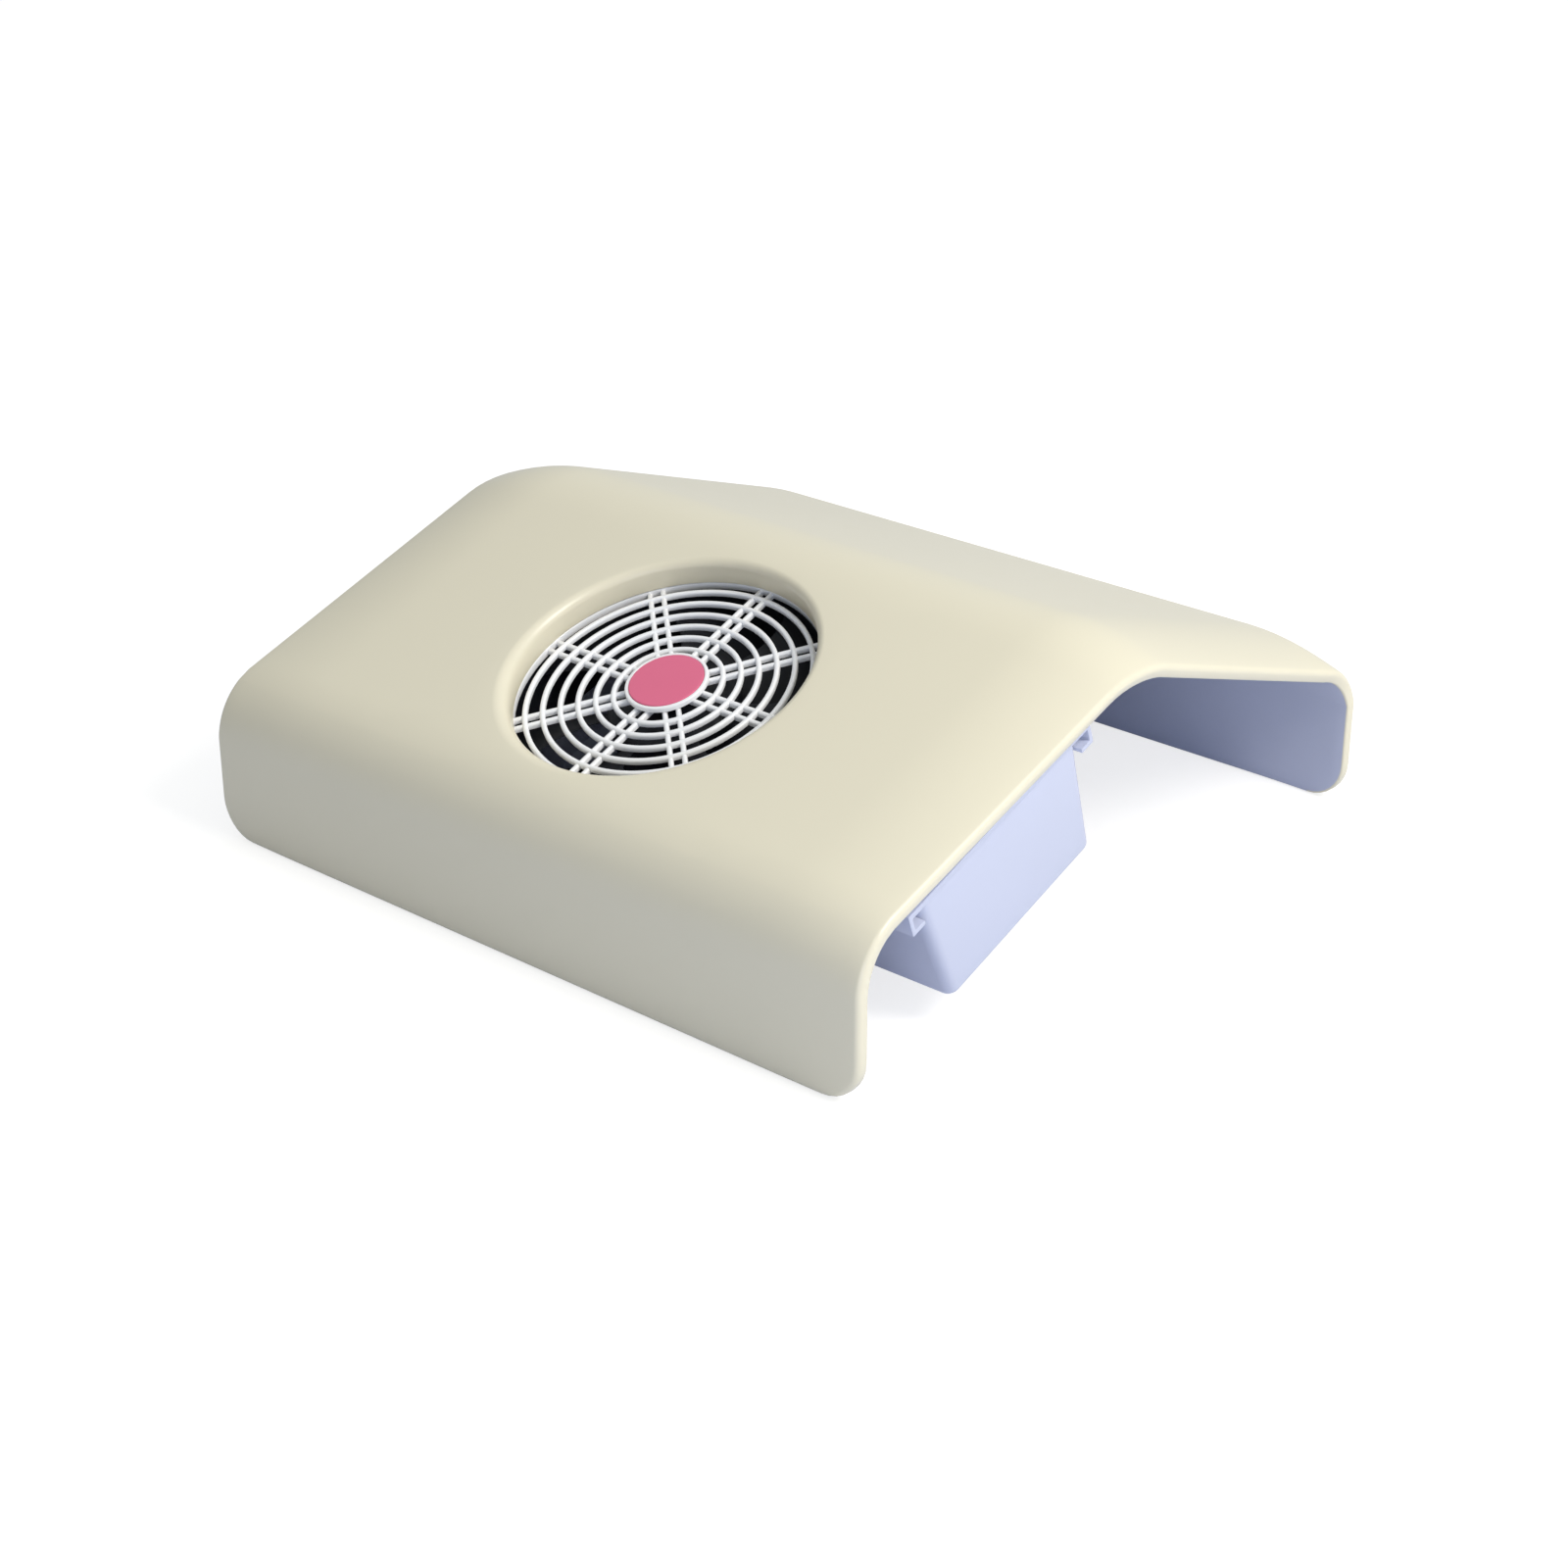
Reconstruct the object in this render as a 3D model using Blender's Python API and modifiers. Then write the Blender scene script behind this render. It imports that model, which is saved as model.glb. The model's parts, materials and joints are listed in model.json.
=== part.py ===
"""Desk-top nail dust collector: an arched hand rest with a fan in its front slope and a dust drawer under it.

Metres, +Z up. The front skirt faces -Y, and the origin is on the table under the middle of the arch.
Pieces under the front slope are modelled in the slope's own axes: X along the width, Y up the slope and Z out of
the slope. Their origin lies on the outer face of the panel, at the fan's centre.
"""

import math

import bmesh
import bpy
from mathutils import Matrix, Vector

# Arched cover
SHELL_WIDTH = 0.300
SHELL_DEPTH = 0.294
FRONT_CORNER_HEIGHT = 0.058
RIDGE_CORNER_HEIGHT = 0.1113
REAR_CORNER_HEIGHT = 0.060
SKIRT_BEND_RADIUS = 0.028
RIDGE_BEND_RADIUS = 0.055
WALL = 0.005
LIP_ROUNDING = 0.0018
SKIRT_CORNER_RADIUS = 0.011
CROWN_FLAT_HALF_WIDTH = 0.110
FRONT_CROWN_DROP = 0.003
RIDGE_CROWN_DROP = 0.009
SKIRT_DROP_SHARE = 0.15

# Clearances and overruns
GAP = 0.0003
SEAM = 0.0002
OVERRUN = 0.002
RUNNING_GAP = 0.0001
SLIDING_GAP = 0.0006

# Fan mouth in the front slope
MOUTH_RISE_ALONG_SLOPE = 0.0025
MOUTH_RADIUS = 0.055
MOUTH_ROLL_RADIUS = 0.008
MOUTH_DEPTH = 0.010
COLLAR_RADIUS = 0.065

# Grille
GRILLE_RADIUS = 0.0587
GRILLE_THICKNESS = 0.003
GRILLE_RIM_WIDTH = 0.0034
RING_COUNT = 6
FIRST_RING_RADIUS = 0.0196
RING_PITCH = 0.00637
RING_WIDTH = 0.0019
RING_THICKNESS = 0.0021
SPOKE_COUNT = 8
SPOKE_BAR_WIDTH = 0.0018
SPOKE_BAR_SPACING = 0.0048
SPOKE_SINK = 0.0004
GRILLE_HUB_RADIUS = 0.0150
GRILLE_HUB_RISE = 0.0015
BADGE_RADIUS = 0.0135
BADGE_THICKNESS = 0.0007
BADGE_RECESS = 0.0008

# Axial fan
FAN_SIDE = 0.120
FAN_HEIGHT = 0.025
FAN_CORNER_RADIUS = 0.006
FAN_FLANGE = 0.0035
FAN_BORE_RADIUS = 0.058
FAN_RING_WALL = 0.0017
FAN_HOLE_PITCH = 0.105
FAN_BOSS_RADIUS = 0.0046
STRUT_COUNT = 4
STRUT_WIDTH = 0.004
STRUT_THICKNESS = 0.0024
MOTOR_BASE_RADIUS = 0.0235
MOTOR_BASE_THICKNESS = 0.0030
GASKET_THICKNESS = 0.0015
GASKET_INNER_RADIUS = 0.0577
GASKET_OUTER_RADIUS = 0.0642

# Motor
SHAFT_RADIUS = 0.0015
BEARING_RADIUS = 0.0040
BEARING_HEIGHT = 0.003
TUBE_WALL = 0.0011
TUBE_HEIGHT = 0.0125
CORE_RADIUS = 0.0192
CORE_EYE_RADIUS = 0.0085
CORE_HEIGHT = 0.006
POLE_COUNT = 4
POLE_WIDTH = 0.0045
POLE_SHOE = 0.0022
POLE_SHOE_DEGREES = 64.0
COIL_WIDTH = 0.0092
COIL_HEIGHT = 0.0100
BOARD_RADIUS = 0.0165
BOARD_THICKNESS = 0.001
MAGNET_THICKNESS = 0.0018
MAGNET_HEIGHT = 0.009
CLIP_RADIUS = 0.0029
CLIP_THICKNESS = 0.0005

# Fan wheel
HUB_RADIUS = 0.024
HUB_WALL = 0.0015
HUB_ROUNDING = 0.0025
HUB_TOP_INSET = 0.0015
HUB_BOSS_RADIUS = 0.0036
HUB_BOSS_HEIGHT = 0.0040
BLADE_COUNT = 7
BLADE_TIP_GAP = 0.0012
BLADE_THICKNESS = 0.0014
BLADE_ROOT_HEIGHT = 0.0155
BLADE_TIP_HEIGHT = 0.0130
BLADE_CAMBER = 0.0016
BLADE_ROOT_WRAP_DEGREES = 44.0
BLADE_TIP_WRAP_DEGREES = 38.0
BLADE_SWEEP_DEGREES = 14.0

# Screws
FAN_SCREW_RADIUS = 0.0019
FAN_SCREW_HEAD_RADIUS = 0.0036
FAN_SCREW_HEAD_HEIGHT = 0.0024
FAN_SCREW_LENGTH = 0.035
SMALL_SCREW_RADIUS = 0.0014
SMALL_SCREW_HEAD_RADIUS = 0.0027
SMALL_SCREW_HEAD_HEIGHT = 0.0018
SMALL_SCREW_LENGTH = 0.010
POST_RADIUS = 0.0045

# Duct under the fan
DUCT_FLANGE = 0.003
DUCT_WALL = 0.0022
BOWL_RADIUS = 0.0590
BOWL_DEPTH_UNDER_FAN = 0.0190
SPOUT_WIDTH = 0.078
SPOUT_LOW_DEPTH = 0.0585
SPOUT_HIGH_DEPTH = 0.0446

# Dust drawer and the channels that carry it
BOX_TOP_DEPTH = 0.0208
BOX_BOTTOM_DEPTH = 0.0650
BOX_BOTTOM_WIDTH = 0.0806
BOX_TOP_WIDTH = 0.0872
BOX_CORNER_RADIUS = 0.004
BOX_WALL = 0.002
BOX_FLOOR = 0.0024
BOX_END = 0.141
DRAWER_START = 0.0668
FLANGE_WIDTH = 0.0050
FLANGE_THICKNESS = 0.002
FLANGE_DROP = 0.0020
FLANGE_END_INSET = 0.0015
SLOT_COUNT = 7
SLOT_LENGTH = 0.056
SLOT_WIDTH = 0.003
SLOT_PITCH = 0.009
FILTER_THICKNESS = 0.003
FILTER_GRID_THICKNESS = 0.0016
GRID_BAR = 0.003
GRID_COLUMNS = 4
GRID_ROWS = 3
HANGER_PLATE = 0.0022
CHANNEL_WEB = 0.0018
CHANNEL_LIP = 0.0018
HANGER_END = 0.1420
HANGER_EAR_RADIUS = 0.0045
HANGER_EAR_THICKNESS = 0.0025
HANGER_EAR_OUT = 0.0038
HANGER_EAR_PLACES = (0.078, 0.103)

# Control box
CONTROL_START = 0.0680
CONTROL_COVER = 0.0022
CORNER_BOSS_RADIUS = 0.0034
CORNER_BOSS_INSET = 0.0062
BOX_POST_X = 0.092
BOX_POST_Y = 0.024
SWITCH_Y = -0.017
SWITCH_DEPTH = 0.0430
SWITCH_BEZEL = (0.0020, 0.0150, 0.0210)
SWITCH_BODY = (0.0150, 0.0124, 0.0190)
SWITCH_WELL = (0.0078, 0.0092, 0.0158)
ROCKER_WIDTH = 0.0084
ROCKER_REACH = 0.0074
ROCKER_RISE = 0.0032
ROCKER_KEEL = 0.0026
ROCKER_TILT_DEGREES = 9.0
ROCKER_AXIS_INSET = 0.0012
TERMINAL = (0.0070, 0.0008, 0.0048)
TERMINAL_SPACING = 0.0100
JACK_Y = 0.020
JACK_RADIUS = 0.0054
JACK_COLLAR_RADIUS = 0.0070
JACK_COLLAR = 0.0015
JACK_LENGTH = 0.0130
JACK_BORE_RADIUS = 0.0030
JACK_BORE_DEPTH = 0.0095
JACK_PIN_RADIUS = 0.0010
JACK_NUT_RADIUS = 0.0078
JACK_NUT = 0.0025
LEAD_RADIUS = 0.0012
LEAD_HOLE_RADIUS = 0.0022
LEAD_Y = -0.024
LEAD_DEPTH = 0.0380

# Facets
BEND_STEP_DEGREES = 12.0
MOUTH_FACETS = 44
RING_FACETS = 28
ROUND_FACETS = 16
SCREW_FACETS = 8
POST_FACETS = 12
LEAD_STEPS = 4
SMOOTH_ANGLE = math.radians(38.0)

for old in list(bpy.data.objects):
    bpy.data.objects.remove(old)

parts = bpy.data.collections.new("nail_dust_collector")
cutters = bpy.data.collections.new("cutters")
bpy.context.scene.collection.children.link(parts)
bpy.context.scene.collection.children.link(cutters)
cutters.hide_render = True

# Axes of the front slope
half_depth = SHELL_DEPTH / 2
slope_rise = RIDGE_CORNER_HEIGHT - FRONT_CORNER_HEIGHT
slope_angle = math.atan2(slope_rise, half_depth)
along_slope = Vector((0, math.cos(slope_angle), math.sin(slope_angle)))
slope_middle = Vector((0, -half_depth / 2, (FRONT_CORNER_HEIGHT + RIDGE_CORNER_HEIGHT) / 2))
slope = bpy.data.objects.new("slope_axes", None)
slope.location = slope_middle + along_slope * MOUTH_RISE_ALONG_SLOPE
slope.rotation_euler = (slope_angle, 0, 0)
parts.objects.link(slope)

# Depths below the outer face of the panel, from the mouth down
grille_top = -(MOUTH_DEPTH + GAP)
grille_bottom = grille_top - GRILLE_THICKNESS
collar_bottom = grille_bottom - GAP
gasket_top = collar_bottom - GAP
gasket_bottom = gasket_top - GASKET_THICKNESS
fan_top = gasket_bottom - GAP
fan_bottom = fan_top - FAN_HEIGHT
duct_top = fan_bottom - GAP
post_bottom = fan_top + GAP
bowl_bottom = fan_bottom - BOWL_DEPTH_UNDER_FAN
box_top = -BOX_TOP_DEPTH
box_bottom = -BOX_BOTTOM_DEPTH
hanger_bottom = box_top + GAP
hanger_top = hanger_bottom + HANGER_PLATE
fan_hole = FAN_HOLE_PITCH / 2
fan_corners = [(x, y) for x in (-fan_hole, fan_hole) for y in (-fan_hole, fan_hole)]


def material(name, colour, roughness, metallic=0.0):
    made = bpy.data.materials.new(name)
    made.use_nodes = True
    shader = made.node_tree.nodes["Principled BSDF"]
    shader.inputs["Base Color"].default_value = (*colour, 1)
    shader.inputs["Roughness"].default_value = roughness
    shader.inputs["Metallic"].default_value = metallic
    return made


cream = material("cream_shell", (0.78, 0.74, 0.57), 0.25)
white = material("white_grille", (0.86, 0.86, 0.86), 0.35)
pink = material("pink_badge", (0.80, 0.14, 0.28), 0.4)
lavender = material("lavender_box", (0.66, 0.68, 0.84), 0.35)
black = material("black_fan", (0.012, 0.013, 0.02), 0.4)
navy = material("navy_blades", (0.02, 0.022, 0.04), 0.35)
foam = material("grey_foam", (0.12, 0.12, 0.13), 0.95)
felt = material("filter_felt", (0.85, 0.85, 0.82), 0.95)
steel = material("steel", (0.62, 0.62, 0.64), 0.3, 1.0)
core_steel = material("core_steel", (0.35, 0.35, 0.37), 0.45, 1.0)
copper = material("copper_wire", (0.72, 0.32, 0.14), 0.35, 1.0)
board_green = material("board_green", (0.02, 0.16, 0.06), 0.5)
magnet_grey = material("magnet", (0.05, 0.045, 0.045), 0.7)
brass = material("brass", (0.72, 0.55, 0.25), 0.3, 1.0)
lead_black = material("lead_sleeve", (0.015, 0.015, 0.015), 0.5)


def add(name, mesh, finish=None, parent=slope):
    """Link a mesh as a part, or as a cutter when it has no finish."""
    made = bpy.data.objects.new(name, mesh)
    made.parent = parent
    if finish:
        mesh.materials.append(finish)
        parts.objects.link(made)
    else:
        cutters.objects.link(made)
        made.hide_render = True
        made.display_type = "WIRE"
    return made


def mesh_from(bm, name):
    bmesh.ops.recalc_face_normals(bm, faces=bm.faces)
    mesh = bpy.data.meshes.new(name)
    bm.to_mesh(mesh)
    bm.free()
    mesh.shade_smooth()
    mesh.set_sharp_from_angle(angle=SMOOTH_ANGLE)
    return mesh


def block(name, low, high, finish=None, turn=None):
    """Box between two corners in the slope's axes, turned about the origin afterwards."""
    bm = bmesh.new()
    bmesh.ops.create_cube(bm, size=1)
    low = Vector(low)
    high = Vector(high)
    size = high - low
    bmesh.ops.scale(bm, vec=size, verts=bm.verts)
    bmesh.ops.translate(bm, vec=(low + high) / 2, verts=bm.verts)
    if turn:
        bmesh.ops.transform(bm, matrix=turn, verts=bm.verts)
    return add(name, mesh_from(bm, name), finish)


def cylinder(name, radius, low, high, at=(0, 0), finish=None, facets=ROUND_FACETS, turn=None):
    bm = bmesh.new()
    bmesh.ops.create_cone(bm, cap_ends=True, segments=facets, radius1=radius, radius2=radius, depth=high - low)
    bmesh.ops.translate(bm, vec=(at[0], at[1], (low + high) / 2), verts=bm.verts)
    if turn:
        bmesh.ops.transform(bm, matrix=turn, verts=bm.verts)
    return add(name, mesh_from(bm, name), finish)


def turned(name, profile, finish=None, facets=ROUND_FACETS, location=(0, 0, 0), rotation=(0, 0, 0)):
    """Turn a profile of (radius, height) points, which runs down its outer side, about the object's Z."""
    closed = profile[0][0] > 0 or profile[-1][0] > 0
    mesh = bpy.data.meshes.new(name)
    last = len(profile) - 1
    edges = [(i, i + 1) for i in range(last)] + ([(last, 0)] if closed else [])
    mesh.from_pydata([(radius, 0, height) for radius, height in profile], edges, [])
    made = add(name, mesh, finish)
    made.location = location
    made.rotation_euler = rotation
    screw = made.modifiers.new("turn", "SCREW")
    screw.steps = facets
    screw.render_steps = facets
    screw.use_merge_vertices = True
    screw.merge_threshold = RUNNING_GAP / 10
    screw.use_smooth_shade = False
    return made


def ring_profile(inner, outer, low, high):
    return [(outer, high), (outer, low), (inner, low), (inner, high)]


def arc(centre, radius, start, end, steps):
    """Points on an arc, with its angles in degrees."""
    angles = [math.radians(start + (end - start) * i / steps) for i in range(steps + 1)]
    return [(centre[0] + radius * math.cos(a), centre[1] + radius * math.sin(a)) for a in angles]


def rounded_rectangle(width, height, radius, steps=3, centre=(0, 0)):
    across = width / 2 - radius
    up = height / 2 - radius
    points = []
    for turn, (sx, sy) in enumerate(((1, 1), (-1, 1), (-1, -1), (1, -1))):
        corner = (centre[0] + sx * across, centre[1] + sy * up)
        points += arc(corner, radius, 90 * turn, 90 * turn + 90, steps)
    return points


def circle(radius, facets=ROUND_FACETS, centre=(0, 0)):
    return arc(centre, radius, 0, 360 - 360 / facets, facets - 1)


def plate(name, outlines, low, high, finish=None, turn=None):
    """Flat plate between two heights from outlines in the XY plane, the later ones being holes."""
    curve = bpy.data.curves.new(name, "CURVE")
    curve.dimensions = "2D"
    curve.fill_mode = "BOTH"
    curve.extrude = (high - low) / 2
    for outline in outlines:
        spline = curve.splines.new("POLY")
        spline.points.add(len(outline) - 1)
        for point, place in zip(spline.points, outline):
            point.co = (*place, 0, 1)
        spline.use_cyclic_u = True
    drawn = bpy.data.objects.new(name + "_outline", curve)
    parts.objects.link(drawn)
    graph = bpy.context.evaluated_depsgraph_get()
    mesh = bpy.data.meshes.new_from_object(drawn.evaluated_get(graph))
    bpy.data.objects.remove(drawn)
    bm = bmesh.new()
    bm.from_mesh(mesh)
    bmesh.ops.remove_doubles(bm, verts=bm.verts, dist=RUNNING_GAP / 10)
    bmesh.ops.translate(bm, vec=(0, 0, (low + high) / 2), verts=bm.verts)
    if turn:
        bmesh.ops.transform(bm, matrix=turn, verts=bm.verts)
    bpy.data.meshes.remove(mesh)
    return add(name, mesh_from(bm, name), finish)


def lofted_box(name, low_outline, high_outline, low, high, finish=None):
    """Box between two outlines of as many points, one above the other."""
    bm = bmesh.new()
    rings = [[bm.verts.new((*place, level)) for place in outline]
             for outline, level in ((low_outline, low), (high_outline, high))]
    count = len(low_outline)
    for i in range(count):
        j = (i + 1) % count
        bm.faces.new((rings[0][i], rings[0][j], rings[1][j], rings[1][i]))
    bm.faces.new(rings[0])
    bm.faces.new(rings[1])
    return add(name, mesh_from(bm, name), finish)


def boolean(target, operation, tools):
    """Join the tools to the target, or cut them out of it."""
    group = bpy.data.collections.new(target.name + "_" + operation.lower())
    cutters.children.link(group)
    for tool in tools:
        cutters.objects.unlink(tool)
        group.objects.link(tool)
    step = target.modifiers.new(operation.lower(), "BOOLEAN")
    step.operation = operation
    step.solver = "EXACT"
    step.operand_type = "COLLECTION"
    step.collection = group


def along_x(rotation=0.0):
    """Matrix that lays a shape drawn about Z along X, with its X to the slope's Y."""
    return Matrix(((0, 0, 1), (1, 0, 0), (0, 1, 0))).to_4x4() @ Matrix.Rotation(rotation, 4, "Z")


# Arched cover: a section path with rounded bends, carried across the width under a crown
def section_path():
    """(point, outward direction) along the cover's outer line in the YZ plane, from front foot to rear foot."""
    corners = [Vector(place) for place in (
        (-half_depth, 0),
        (-half_depth, FRONT_CORNER_HEIGHT),
        (0, RIDGE_CORNER_HEIGHT),
        (half_depth, REAR_CORNER_HEIGHT),
        (half_depth, 0),
    )]
    radii = (SKIRT_BEND_RADIUS, RIDGE_BEND_RADIUS, SKIRT_BEND_RADIUS)
    path = [(corners[0], Vector((-1, 0)))]
    for before, corner, after, radius in zip(corners, corners[1:], corners[2:], radii):
        arriving = (corner - before).normalized()
        leaving = (after - corner).normalized()
        turn = arriving.angle(leaving)
        start = corner - arriving * radius * math.tan(turn / 2)
        outward = Vector((-arriving.y, arriving.x))
        centre = start - outward * radius
        steps = math.ceil(math.degrees(turn) / BEND_STEP_DEGREES)
        for i in range(steps + 1):
            direction = outward.copy()
            direction.rotate(Matrix.Rotation(-turn * i / steps, 2))
            path.append((centre + direction * radius, direction))
    path.append((corners[-1], Vector((1, 0))))
    return path


def crown_drop(x, place, outward):
    """How far the cover falls back at this width, growing from the front bend to the ridge."""
    reach = max(0, abs(x) - CROWN_FLAT_HALF_WIDTH) / (SHELL_WIDTH / 2 - CROWN_FLAT_HALF_WIDTH)
    rearward = min(1, max(0, (place.x + half_depth) / half_depth))
    most = FRONT_CROWN_DROP + (RIDGE_CROWN_DROP - FRONT_CROWN_DROP) * rearward
    share = SKIRT_DROP_SHARE + (1 - SKIRT_DROP_SHARE) * max(0, outward.y)
    return most * share * reach ** 2


def make_shell():
    half = SHELL_WIDTH / 2
    corner_start = half - SKIRT_CORNER_RADIUS
    corner_arc = [math.radians(degrees) for degrees in (0, 32, 62, 90)]
    crown_steps = 2
    crown_stations = [
        (CROWN_FLAT_HALF_WIDTH + (corner_start - CROWN_FLAT_HALF_WIDTH) * i / crown_steps, 0)
        for i in range(crown_steps)
    ]
    corner_stations = [
        (corner_start + SKIRT_CORNER_RADIUS * math.sin(a), SKIRT_CORNER_RADIUS * (1 - math.cos(a)))
        for a in corner_arc
    ]
    stations = [(0, 0)] + crown_stations + corner_stations
    path = section_path()
    bm = bmesh.new()
    grid = []
    for x, foot in stations:
        row = []
        for place, outward in path:
            at = place - outward * crown_drop(x, place, outward)
            row.append(bm.verts.new((x, at.x, max(at.y, foot))))
        grid.append(row)
    for left, right in zip(grid, grid[1:]):
        for j in range(len(path) - 1):
            bm.faces.new((left[j], right[j], right[j + 1], left[j + 1]))
    mesh = bpy.data.meshes.new("shell")
    bm.to_mesh(mesh)
    bm.free()
    mesh.shade_smooth()
    shell = add("shell", mesh, cream, None)
    mirror = shell.modifiers.new("mirror", "MIRROR")
    mirror.merge_threshold = RUNNING_GAP / 10
    solid = shell.modifiers.new("wall", "SOLIDIFY")
    solid.thickness = WALL
    solid.offset = -1
    solid.use_even_offset = True
    rounding = shell.modifiers.new("lips", "BEVEL")
    rounding.width = LIP_ROUNDING
    rounding.segments = 2
    rounding.limit_method = "ANGLE"
    rounding.angle_limit = math.radians(50)

    buried = -WALL / 2
    hung = [cylinder("collar", COLLAR_RADIUS, collar_bottom, buried - SEAM, facets=MOUTH_FACETS)]
    for i, place in enumerate(fan_corners):
        hung.append(cylinder(f"fan_post_{i}", POST_RADIUS, post_bottom, buried, place, facets=POST_FACETS))
    for i, place in enumerate(hanger_places()):
        hung.append(cylinder(f"hanger_post_{i}", POST_RADIUS, hanger_ear_top() + GAP, buried, place,
                             facets=POST_FACETS))
    for i, place in enumerate(control_post_places()):
        hung.append(cylinder(f"control_post_{i}", POST_RADIUS, box_top + GAP, buried, place,
                             facets=POST_FACETS))
    boolean(shell, "UNION", hung)

    roll = arc((MOUTH_RADIUS + MOUTH_ROLL_RADIUS, -MOUTH_ROLL_RADIUS), MOUTH_ROLL_RADIUS, 90, 180, 4)
    seat = GRILLE_RADIUS + GAP
    profile = [(0, OVERRUN), (roll[0][0], OVERRUN), *roll, (MOUTH_RADIUS, -MOUTH_DEPTH), (seat, -MOUTH_DEPTH),
               (seat, collar_bottom - OVERRUN), (0, collar_bottom - OVERRUN)]
    cuts = [turned("mouth_cut", profile, facets=MOUTH_FACETS)]
    pilots = [(place, post_bottom, FAN_SCREW_RADIUS) for place in fan_corners]
    pilots += [(place, hanger_ear_top(), SMALL_SCREW_RADIUS) for place in hanger_places()]
    pilots += [(place, box_top, SMALL_SCREW_RADIUS) for place in control_post_places()]
    for i, (place, low, radius) in enumerate(pilots):
        cuts.append(cylinder(f"pilot_{i}", radius + GAP, low - OVERRUN, -WALL, place, facets=SCREW_FACETS))
    boolean(shell, "DIFFERENCE", cuts)


# Channels of the drawer hanger, measured from the drawer's flange
def box_half_width(level):
    """Half the outer width of the drafted box at a height in the slope's axes."""
    rise = (level - box_bottom) / (box_top - box_bottom)
    return (BOX_BOTTOM_WIDTH + (BOX_TOP_WIDTH - BOX_BOTTOM_WIDTH) * rise) / 2


flange_top = box_top - FLANGE_DROP
flange_bottom = flange_top - FLANGE_THICKNESS
flange_tip = box_half_width(flange_top) + FLANGE_WIDTH
channel_inside = flange_tip + GAP
channel_outside = channel_inside + CHANNEL_WEB
lip_top = flange_bottom - GAP
lip_bottom = lip_top - CHANNEL_LIP
lip_inside = box_half_width(flange_bottom) + SLIDING_GAP
hanger_ear_y = channel_outside + HANGER_EAR_OUT


def hanger_places():
    return [(x, side * hanger_ear_y) for x in HANGER_EAR_PLACES for side in (-1, 1)]


def hanger_ear_top():
    return hanger_bottom + HANGER_EAR_THICKNESS - SEAM


def control_post_places():
    return [(-BOX_POST_X, -BOX_POST_Y), (-BOX_POST_X, BOX_POST_Y)]


def screw(name, place, seat, radius, head_radius, head_height, length):
    """Pan-head screw that points up the slope's Z, with the underside of its head at the seat."""
    dome = head_height * 0.35
    turned(name, [
        (0, length), (radius, length - radius), (radius, 0), (head_radius, 0),
        (head_radius, -head_height + dome), (head_radius * 0.7, -head_height), (0, -head_height),
    ], steel, SCREW_FACETS, (*place, seat - GAP))


# Grille: rim, rings, double-bar spokes and a raised hub with a recess for the badge
def make_grille():
    grille = turned("grille", ring_profile(GRILLE_RADIUS - GRILLE_RIM_WIDTH, GRILLE_RADIUS, grille_bottom, grille_top),
                    white, MOUTH_FACETS)
    hub_top = grille_top + GRILLE_HUB_RISE
    pieces = [cylinder("grille_hub", GRILLE_HUB_RADIUS, grille_bottom + SEAM, hub_top, facets=RING_FACETS)]
    ring_top = grille_top - SEAM
    for i in range(RING_COUNT):
        middle = FIRST_RING_RADIUS + RING_PITCH * i
        inner = middle - RING_WIDTH / 2
        outer = middle + RING_WIDTH / 2
        profile = ring_profile(inner, outer, ring_top - RING_THICKNESS, ring_top)
        pieces.append(turned(f"grille_ring_{i}", profile, facets=RING_FACETS))
    bar_top = ring_top - SPOKE_SINK
    bar_start = GRILLE_HUB_RADIUS * 0.6
    bar_end = GRILLE_RADIUS - GRILLE_RIM_WIDTH / 2
    bar_bottom = grille_bottom + SPOKE_SINK
    for i in range(SPOKE_COUNT):
        turn = Matrix.Rotation(2 * math.pi * i / SPOKE_COUNT, 4, "Z")
        for side in (-1, 1):
            middle = side * SPOKE_BAR_SPACING / 2
            low = (bar_start, middle - SPOKE_BAR_WIDTH / 2, bar_bottom)
            high = (bar_end, middle + SPOKE_BAR_WIDTH / 2, bar_top)
            pieces.append(block(f"grille_bar_{i}_{side}", low, high, turn=turn))
    boolean(grille, "UNION", pieces)
    recess = cylinder("badge_recess", BADGE_RADIUS + GAP, hub_top - BADGE_RECESS, hub_top + OVERRUN, facets=RING_FACETS)
    boolean(grille, "DIFFERENCE", [recess])
    badge_bottom = hub_top - BADGE_RECESS + GAP
    edge = BADGE_THICKNESS * 0.4
    top = badge_bottom + BADGE_THICKNESS
    turned("grille_badge", [(0, top), (BADGE_RADIUS - edge, top), (BADGE_RADIUS, top - edge),
                            (BADGE_RADIUS, badge_bottom), (0, badge_bottom)], pink, RING_FACETS)


# Axial fan: frame, struts, motor base and bearing tube
motor_base_top = fan_bottom + MOTOR_BASE_THICKNESS
tube_radius = BEARING_RADIUS + GAP + TUBE_WALL
tube_top = motor_base_top + TUBE_HEIGHT


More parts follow.
